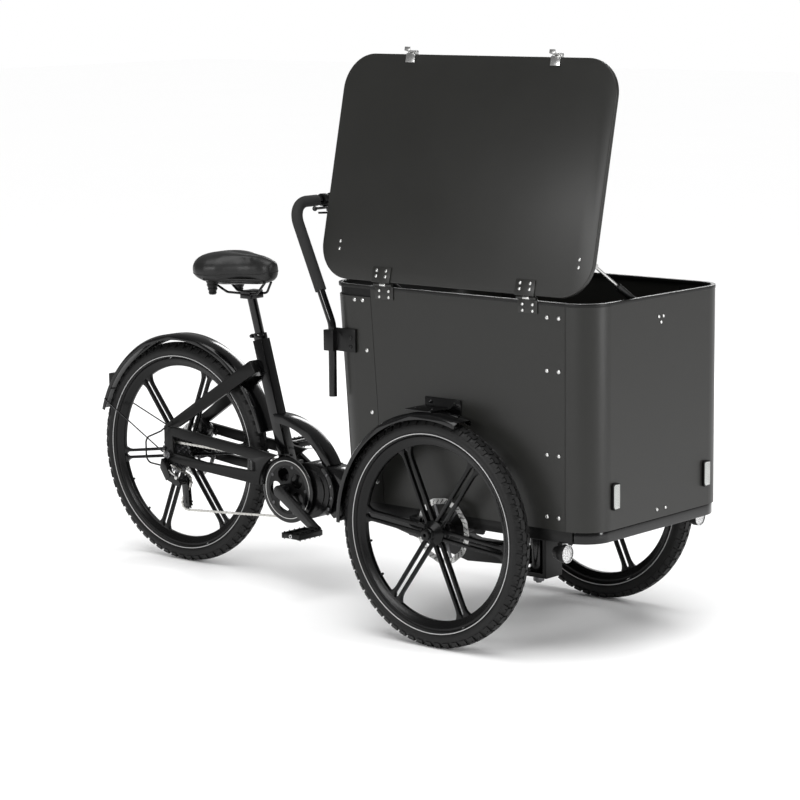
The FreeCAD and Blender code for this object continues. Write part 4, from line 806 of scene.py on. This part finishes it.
def makeReflectors():
    # a dark case with a ribbed silver lens, one on each side of the front
    s = reflectorSizes
    low, high = (fromFrame(p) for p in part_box("front_reflectors"))
    case, lens = bmesh.new(), bmesh.new()
    slant, inset = s["slant"], s["lens"] - s["case"]

    def badge(bm, y0, y1, z0, z1, cut, back, front):
        addPrism(bm, [(y0, z0 + slant), (y0 + slant, z0), (y1, z0 + cut), (y1, z1 - cut),
                      (y0 + slant, z1), (y0, z1 - slant)], "x", back, front)

    for y0 in (low.y + s["case"], high.y - s["wide"] + s["case"]):
        y1 = y0 + s["wide"] - 2 * s["case"]
        z0, z1 = low.z + s["case"] + 2, high.z - s["case"] - 2
        badge(case, y0, y1, z0, z1, 2, low.x, high.x - 1.6)
        y0, y1, z0, z1 = y0 + inset * 0.6, y1 - inset * 0.6, z0 + inset, z1 - inset
        badge(lens, y0, y1, z0, z1, 1, high.x - 2.2, high.x - 0.8)
        for i in range(s["ribs"]):
            y = y0 + 2 + (y1 - y0 - 4) * i / (s["ribs"] - 1)
            addBlock(lens, high.x - 1.0, high.x - 1.0 + s["ribHigh"], y - s["ribHalf"],
                     y + s["ribHalf"], z0 + slant, z1 - slant)
    finishPiece("reflectorCases", case, "plastic", "front_reflectors", True, bevel=1.2)
    finishPiece("reflectorLenses", lens, "white lens", "front_reflectors", bevel=0.3)


makeReflectors()
print("stage: reflectors")


# chain, rings and sprockets
# the thin steel ring at the guard's highlight radius is a painted highlight on the chain guard
driveSizes = {
    "crankX": -800, "crankZ": 276, "pitch": 12.7, "chainY": -52.4, "teeth": 40, "jockeyR": 22.5,
    "guardR": 97, "guardIn": 71, "guardHighlightR": 84, "guardHighlightHalf": 0.9, "guardY": -61.2, "boltR": 69,
    "discR": 76, "discIn": 12, "holes": 5, "holeR": 21.5, "holeAt": 45, "lead": -34,
    "cogs": (11, 13, 16, 18, 21, 24, 28), "cogPitch": 4.4, "driveCog": 3, "cogRoom": 57.3,
    "jockeyTeeth": 11, "jockeys": ((-1218, 252), (-1212, 188)),
}
linkSizes = {
    "plateThick": 0.9, "plateHalf": 3.9, "waist": 0.62, "outerAt": 2.6, "innerAt": 1.6, "pinR": 1.6,
    "pinHigh": 1.0, "rollerR": 3.6, "rollerHalf": 1.2,
}


def pitchRadius(teeth):
    return driveSizes["pitch"] / 2 / math.sin(math.pi / teeth)


def chainPoints():
    # the pitch line round the four wheels, cut into whole links
    d = driveSizes
    (ux, uz), (lx, lz) = d["jockeys"]
    wheels = [(d["crankX"], d["crankZ"], pitchRadius(d["teeth"]), 1), (lx, lz, d["jockeyR"], 1),
              (ux, uz, d["jockeyR"], -1), (rearX, rearR, pitchRadius(d["cogs"][d["driveCog"]]), 1)]
    pairs = list(zip(wheels, wheels[1:] + wheels[:1]))
    normals = []
    for (x0, z0, r0, s0), (x1, z1, r1, s1) in pairs:
        lean = math.acos((s0 * r0 - s1 * r1) / math.hypot(x1 - x0, z1 - z0))
        normals.append(math.atan2(z1 - z0, x1 - x0) + lean)
    line = []
    for i, ((x0, z0, r0, s0), (x1, z1, r1, s1)) in enumerate(pairs):
        before, n = normals[i - 1], normals[i]
        sweep = (before - n) % math.tau if s0 > 0 else -((n - before) % math.tau)
        for k in range(49):
            a = before - sweep * k / 48
            line.append((x0 + s0 * r0 * math.cos(a), z0 + s0 * r0 * math.sin(a)))
        a = (x0 + s0 * r0 * math.cos(n), z0 + s0 * r0 * math.sin(n))
        b = (x1 + s1 * r1 * math.cos(n), z1 + s1 * r1 * math.sin(n))
        for k in range(1, 60):
            line.append((a[0] + (b[0] - a[0]) * k / 60, a[1] + (b[1] - a[1]) * k / 60))
    lengths = [0]
    for p, q in zip(line, line[1:] + line[:1]):
        lengths.append(lengths[-1] + math.dist(p, q))
    links = 2 * round(lengths[-1] / d["pitch"] / 2)
    points, k = [], 0
    for i in range(links):
        want = lengths[-1] * i / links
        while lengths[k + 1] < want:
            k += 1
        p, q = line[k], line[(k + 1) % len(line)]
        f = (want - lengths[k]) / max(lengths[k + 1] - lengths[k], 1e-6)
        points.append((p[0] + (q[0] - p[0]) * f, p[1] + (q[1] - p[1]) * f))
    return points


def addPlates(bm, at):
    # two figure-of-eight side plates from one pin to the next
    s = linkSizes
    r, half, thick = s["plateHalf"], driveSizes["pitch"] / 2, s["plateThick"] / 2
    outline = []
    for side in (1, -1):
        for k in range(5):
            a = math.radians(-72 + 36 * k)
            outline.append((side * (half + r * math.cos(a)), side * r * math.sin(a)))
        outline.append((0, side * r * s["waist"]))
    for side in (-1, 1):
        addPrism(bm, outline, "z", side * at - thick, side * at + thick)


def outerLink(bm):
    s, half = linkSizes, driveSizes["pitch"] / 2
    addPlates(bm, s["outerAt"])
    for side in (-1, 1):
        for x in (-half, half):
            addRod(bm, (x, 0, side * s["outerAt"]), (x, 0, side * (s["outerAt"] + s["pinHigh"])), s["pinR"],
                   6)


def innerLink(bm):
    s, half = linkSizes, driveSizes["pitch"] / 2
    addPlates(bm, s["innerAt"])
    for x in (-half, half):
        addRod(bm, (x, 0, -s["rollerHalf"]), (x, 0, s["rollerHalf"]), s["rollerR"], 8)


def makeChain():
    points = chainPoints()
    spots = {0: [], 1: []}
    for i, (p, q) in enumerate(zip(points, points[1:] + points[:1])):
        middle = ((p[0] + q[0]) / 2, driveSizes["chainY"], (p[1] + q[1]) / 2)
        spots[i % 2].append((middle, (0, 1, 0), (q[0] - p[0], 0, q[1] - p[1])))
    repeatUnit("chainOuterLinks", outerLink, spots[0], "chain", "chain", True)
    repeatUnit("chainInnerLinks", innerLink, spots[1], "chain", "chain")


def addToothed(bm, x, z, teeth, inner, y0, y1, turn=0.0):
    pitchR = pitchRadius(teeth)
    # each tooth as (part of its pitch, height over the pitch circle)
    shape = ((0.0, -3.2), (0.14, -2.6), (0.30, 0.6), (0.42, 3.0), (0.5, 3.3), (0.58, 3.0), (0.70, 0.6),
             (0.86, -2.6))
    rings = []
    for i in range(teeth):
        for f, lift in shape:
            a = math.radians(turn) + math.tau * (i + f) / teeth
            c, s = math.cos(a), math.sin(a)
            rings.append([bm.verts.new((x + q * c, y, z + q * s)) for q, y in (
                (inner, y0), (pitchR + lift, y0), (pitchR + lift, y1), (inner, y1))])
    bridge(bm, rings, closed=True)


def cutAway(piece, buildCutter):
    # takes a shape out of a piece
    bm = bmesh.new()
    buildCutter(bm)
    bmesh.ops.recalc_face_normals(bm, faces=bm.faces)
    cutter = newObject("cutter", bm)
    modifier = piece.modifiers.new("cut", "BOOLEAN")
    modifier.operation = "DIFFERENCE"
    modifier.solver = "EXACT"
    modifier.object = cutter
    bakeModifiers(piece)
    bpy.data.objects.remove(cutter)
    piece.data.set_sharp_from_angle(angle=math.radians(35))


def makeChainring():
    d = driveSizes
    x, z, y = d["crankX"], d["crankZ"], d["guardY"]
    bm = bmesh.new()
    addToothed(bm, x, z, d["teeth"], 64, d["chainY"] - 1, d["chainY"] + 1)
    finishPiece("chainringTeeth", bm, "dark steel", "chainring", True, sharp=30)
    bm, rim = bmesh.new(), d["guardR"]
    addLathe(bm, [(y, d["guardIn"]), (y, rim - 3), (y + 0.8, rim - 1), (y + 1.6, rim - 0.4),
                  (y + 3, rim - 1), (y + 3, d["guardIn"])], (x, 0, z))
    finishPiece("chainGuardRing", bm, "gloss", "chainring", sharp=40)
    # a thin bright steel ring on the face of the guard: a painted highlight where the guard's sheen falls
    bm = bmesh.new()
    low, high = d["guardHighlightR"] - d["guardHighlightHalf"], d["guardHighlightR"] + d["guardHighlightHalf"]
    addLathe(bm, [(y - 0.35, low), (y - 0.35, high), (y + 0.3, high), (y + 0.3, low)], (x, 0, z))
    finishPiece("chainGuardLine", bm, "steel", "chainring")
    bm, rim = bmesh.new(), d["discR"]
    addLathe(bm, [(y + 0.5, d["discIn"]), (y + 0.5, rim - 1), (y + 1.2, rim), (y + 3.5, rim),
                  (y + 3.5, d["discIn"])], (x, 0, z))
    disc = finishPiece("chainringSpider", bm, "plastic", "chainring")
    step = 360 / d["holes"]

    def holes(bm):
        for i in range(d["holes"]):
            a = math.radians(d["lead"] + step * (i + 1))
            at = (x + d["holeAt"] * math.cos(a), z + d["holeAt"] * math.sin(a))
            addRod(bm, (at[0], y - 5, at[1]), (at[0], y + 9, at[1]), d["holeR"], 40)

    cutAway(disc, holes)
    spots = []
    for i in range(d["holes"]):
        a = math.radians(d["lead"] + step * (i + 0.5))
        spots.append(((x + d["boltR"] * math.cos(a), y - 0.2, z + d["boltR"] * math.sin(a)), (0, -1, 0),
                      (1, 0, 0)))

    def ringBolt(bm):
        addRound(bm, (0, 0, 0), (0, 0, 1), [(-1, 4.4), (1.0, 4.4), (1.6, 3.6), (1.6, 2.2), (0.6, 1.9)],
                 12)

    repeatUnit("chainringBolts", ringBolt, spots, "dark steel", "chainring")


def makeSprockets():
    d = driveSizes
    bm = bmesh.new()
    for i, teeth in enumerate(d["cogs"]):
        y = d["chainY"] + (i - d["driveCog"]) * d["cogPitch"]
        if abs(y) > d["cogRoom"]:
            continue
        addToothed(bm, rearX, rearR, teeth, 15, y - 0.9, y + 0.9, turn=5 * i)
    low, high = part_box("cassette")
    y0, y1 = low.y * 1000, high.y * 1000
    addLathe(bm, [(y0, 8), (y0, 15), (y0 + 1, 16.5), (y1 - 1, 16.5), (y1, 15), (y1, 8)],
             (rearX, 0, rearR), 40)
    finishPiece("sprocketSet", bm, "dark steel", "cassette", True, sharp=30)
    for (x, z), name in zip(d["jockeys"], ("jockey_upper", "jockey_lower")):
        bm = bmesh.new()
        addToothed(bm, x, z, d["jockeyTeeth"], 4, d["chainY"] - 1.1, d["chainY"] + 1.1)
        bmesh.ops.scale(bm, verts=bm.verts, vec=(0.84, 1, 0.84), space=Matrix.Translation((-x, 0, -z)))
        addLathe(bm, [(-2.8, 3), (-2.8, 7), (2.8, 7), (2.8, 3)], (x, d["chainY"], z), 24)
        finishPiece(name + "Wheel", bm, "plastic", name, True, sharp=30)


makeChain()
makeChainring()
makeSprockets()
print("stage: chain and sprockets")

pedalSizes = {
    "pinHigh": 3.4, "pinR": 1.7, "pinIn": 8, "pins": 5, "capR": 6, "barrelR": 9.5, "barrelIn": 6,
    "bar": 9, "sunk": 3, "ribs": (0.36, 0.66), "ribHalf": 2,
}


def makePedal(name):
    # an open platform: a barrel on the pin, a cage round it, cross ribs and grip pins
    low, high = (fromFrame(p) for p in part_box(name))
    side = 1 if high.y > 0 else -1
    inner, outer = (low.y, high.y) if side > 0 else (high.y, low.y)
    middle, p = (low + high) / 2, pedalSizes
    bm = bmesh.new()
    bar, sunk, half = p["bar"], p["sunk"], p["ribHalf"]
    for x0, x1 in ((low.x, low.x + bar), (high.x - bar, high.x)):
        addBlock(bm, x0, x1, low.y, high.y, low.z + sunk, high.z - sunk)
    for y in (inner, outer - side * bar):
        addBlock(bm, low.x + bar, high.x - bar, y, y + side * bar, low.z + sunk + 1, high.z - sunk - 1)
    for f in p["ribs"]:
        y = inner + (outer - inner) * f
        addBlock(bm, low.x + bar, high.x - bar, y - half, y + half, low.z + sunk + 2, high.z - sunk - 2)
    finishPiece(name + "Cage", bm, "plastic", name, True, bevel=1.6)
    bm = bmesh.new()
    bore, wide, long = p["barrelIn"], p["barrelR"], abs(outer - inner) - 9
    addRound(bm, (middle.x, inner + side * 0.5, middle.z), (0, side, 0),
             [(0, bore), (0, wide), (10, wide), (14, wide - 1.1), (long, wide - 1.1), (long, bore)], 24)
    finishPiece(name + "Barrel", bm, "alloy", name)
    bm = bmesh.new()
    addRound(bm, (middle.x, outer - side * 1.0, middle.z), (0, side, 0),
             [(-6, p["capR"]), (0.8, p["capR"]), (1.8, p["capR"] - 1.2), (1.8, 3.4), (0.8, 2.8)], 24)
    finishPiece(name + "Cap", bm, "steel", name)
    spots = []
    for face, z in ((1, high.z - sunk), (-1, low.z + sunk)):
        for x in (low.x + bar / 2, high.x - bar / 2):
            for i in range(p["pins"]):
                f = i / (p["pins"] - 1)
                y = low.y + p["pinIn"] + (high.y - low.y - 2 * p["pinIn"]) * f
                spots.append(((x, y, z), (0, 0, face), (1, 0, 0)))

    def pin(bm):
        top = p["pinHigh"]
        addRound(bm, (0, 0, 0), (0, 0, 1), [(-1, p["pinR"]), (top - 0.6, p["pinR"]), (top, 0.9)], 8)

    repeatUnit(name + "Pins", pin, spots, "plastic", name)


for name in ("pedal_right", "pedal_left"):
    makePedal(name)

armSizes = {"from": (-1275, 294), "to": (-1224, 266), "y": -88, "thick": 7, "wide": 9, "pivot": 6}


def makeGearLink():
    # the bright parallelogram arm of the gear changer
    g = armSizes
    (x0, z0), (x1, z1) = g["from"], g["to"]
    way = Vector((x1 - x0, 0, z1 - z0)).normalized()
    side = Vector((-way.z, 0, way.x)) * (g["wide"] / 2)
    bm = bmesh.new()
    corners = [(x0 + side.x, z0 + side.z), (x1 + side.x * 0.7, z1 + side.z * 0.7),
               (x1 - side.x * 0.7, z1 - side.z * 0.7), (x0 - side.x, z0 - side.z)]
    addPrism(bm, corners, "y", g["y"], g["y"] + g["thick"])
    for x, z in (g["from"], g["to"]):
        addRod(bm, (x, g["y"] - 1.5, z), (x, g["y"] + g["thick"] + 1, z), g["pivot"], 20)
    finishPiece("gearLink", bm, "steel", "derailleur", bevel=0.8)


makeGearLink()
print("stage: pedals and gear changer")


# saddle
saddleSizes = {
    "x": -1012, "top": 937, "depth": 86, "waist": 0.46, "groove": 4.5, "grooveWide": 9, "around": 40,
    "piping": 1.5, "seamUp": 24, "endUp": 38, "nose": 122.5, "tail": 140,
    "voxel": 5, "pressure": 4.0, "cap": 6.0, "frames": 20,
    # each section: distance ahead of the middle, half width, rise of the edge, fall of the top
    "stations": (
        (-139, 34, 22, 17), (-134, 66, 12, 9), (-120, 96, 5, 3), (-96, 110, 1, 0), (-66, 110, 0, 0),
        (-34, 98, 2, 1), (-4, 78, 4, 3), (26, 58, 6, 5), (54, 45, 7, 7), (82, 37, 9, 9),
        (104, 31, 12, 12), (116, 23, 18, 16), (121, 12, 26, 22),
    ),
}


def saddleShell():
    # closed sections from tail to nose: crowned on top, tucked in under the edge
    s = saddleSizes
    bm = bmesh.new()
    rings = []
    for dx, half, lift, fall in s["stations"]:
        low, high = s["top"] - s["depth"] + lift, s["top"] - fall
        middle = low + (high - low) * s["waist"]
        ring = []
        for k in range(s["around"]):
            a = math.tau * k / s["around"]
            c, d = math.cos(a), math.sin(a)
            wide = half * abs(c) ** 0.72 * (1 if c >= 0 else -1)
            if d >= 0:
                z = middle + (high - middle) * d ** 0.8
                groove = s["groove"] * math.exp(-(wide / s["grooveWide"]) ** 2)
                z -= groove * max(0, 1 - abs(dx + 20) / 110)
            else:
                z = middle - (middle - low) * (-d) ** 0.75
                wide *= 1 - 0.16 * (-d) ** 1.5
            ring.append(bm.verts.new((s["x"] + dx, wide, z)))
        rings.append(ring)
    bridge(bm, rings)
    bmesh.ops.recalc_face_normals(bm, faces=bm.faces)
    return bm


def padPiece(piece):
    # remeshed, blown up as cloth with no gravity, and kept within a cap of its first shape
    remesh = piece.modifiers.new("remesh", "REMESH")
    remesh.mode = "VOXEL"
    remesh.voxel_size = saddleSizes["voxel"] / 1000
    remesh.use_smooth_shade = True
    bakeModifiers(piece)
    before = [v.co.copy() for v in piece.data.vertices]
    scene = bpy.context.scene
    scene.frame_set(1)
    cloth = piece.modifiers.new("cloth", "CLOTH")
    fabric = cloth.settings
    fabric.use_pressure = True
    fabric.uniform_pressure_force = saddleSizes["pressure"]
    fabric.effector_weights.gravity = 0
    fabric.quality = 5
    fabric.mass = 0.3
    fabric.tension_stiffness = fabric.compression_stiffness = 12
    fabric.shear_stiffness = 5
    fabric.bending_stiffness = 0.6
    frames = saddleSizes["frames"]
    cloth.point_cache.frame_start, cloth.point_cache.frame_end = 1, frames
    for number in range(1, frames + 1):
        scene.frame_set(number)
        graph = bpy.context.evaluated_depsgraph_get()
        piece.evaluated_get(graph).to_mesh()
    graph = bpy.context.evaluated_depsgraph_get()
    swollen = [v.co.copy() for v in piece.evaluated_get(graph).data.vertices]
    piece.modifiers.clear()
    cap = saddleSizes["cap"] / 1000
    for vert, old, new in zip(piece.data.vertices, before, swollen):
        move = new - old
        vert.co = old + (move.normalized() * cap if move.length > cap else move)
    scene.frame_set(1)
    print("   saddle moved", round(max((a - b).length for a, b in zip(before, swollen)) * 1000, 1),
          "mm before the cap")


def makeSaddle():
    s = saddleSizes
    pad = newObject("saddlePad", saddleShell())
    pad.data.materials.append(looks["vinyl"])
    padPiece(pad)
    smooth = pad.modifiers.new("smooth", "SMOOTH")
    smooth.factor = 0.5
    smooth.iterations = 4
    fine = pad.modifiers.new("fine", "SUBSURF")
    fine.levels = fine.render_levels = 1
    bakeModifiers(pad)
    if not pad.data.materials:
        pad.data.materials.append(looks["vinyl"])
    pad.data.shade_smooth()
    # piped seam round the edge of the cover, laid on the finished pad
    path = [fromFrame(pad.closest_point_on_mesh(toFrame(point))[1])
            for point in seamLine(s["top"] - s["depth"])]
    settle(pad, "saddle_cover", True)
    bm = bmesh.new()
    addLoop(bm, path, circleSection(s["piping"], 8))
    finishPiece("saddlePiping", bm, "vinyl", "saddle_cover")


def seamLine(low):
    # along the sections a little above their low edge, and round the nose and the tail
    s, line = saddleSizes, []
    for side, rows in ((1, s["stations"][1:-1]), (-1, s["stations"][-2:0:-1])):
        line += [(s["x"] + row[0], side * (row[1] + 0.6), low + row[2] + s["seamUp"]) for row in rows]
        line.append((s["x"] + (s["nose"] if side > 0 else -s["tail"]), 0, low + s["endUp"]))
    return smoothLoop(line, 4)


def smoothLoop(points, steps):
    # a rounded closed line through the points
    points = [Vector(p) for p in points]
    count = len(points)
    line = []
    for i in range(count):
        p0, p1, p2, p3 = (points[(i + k) % count] for k in (-1, 0, 1, 2))
        for k in range(steps):
            t = k / steps
            curve = (2 * p0 - 5 * p1 + 4 * p2 - p3) * t * t + (3 * p1 - p0 - 3 * p2 + p3) * t ** 3
            line.append(0.5 * (2 * p1 + (p2 - p0) * t + curve))
    return line


makeSaddle()

springSizes = {
    "back": 76, "aside": 56, "low": 818.6, "high": 862.6, "rings": 4, "lowR": 10.5, "highR": 20.5,
    "plateThick": 8,
    "plate": ((-126, -60), (-76, -96), (20, -54), (92, -24), (92, 24), (20, 54), (-76, 96), (-126, 60)),
}


def makeSprings():
    # two ribbed rubber cones under the tail of the saddle
    p = springSizes
    bm = bmesh.new()
    tall = p["high"] - p["low"]
    profile = [(0, 3), (0, p["lowR"] - 2)]
    for i in range(p["rings"]):
        f0, f1 = i / p["rings"], (i + 0.72) / p["rings"]
        r0, r1 = (p["lowR"] + (p["highR"] - p["lowR"]) * f for f in (f0, f1))
        z0, z1 = tall * f0, tall * f1
        profile += [(z0 + 0.6, r0 - 1.4), (z0 + 1.8, r0), (z1 - 1.2, r1), (z1, r1 - 1.4)]
    profile += [(tall - 0.2, p["highR"] - 2), (tall - 0.2, 3)]
    for side in (-1, 1):
        foot = (saddleSizes["x"] - p["back"], side * p["aside"], p["low"])
        addRound(bm, foot, (0, 0, 1), profile, 32)
    finishPiece("saddleSprings", bm, "rubber", "saddle_base", True)
    bm = bmesh.new()
    plate = [(saddleSizes["x"] + x, y) for x, y in p["plate"]]
    addPrism(bm, plate, "z", p["high"], p["high"] + p["plateThick"])
    finishPiece("saddleUnderplate", bm, "plastic", "saddle_base", bevel=1.5)


makeSprings()
dressNode("seat_post", 0.8)
print("stage: saddle")

print("stage: done")
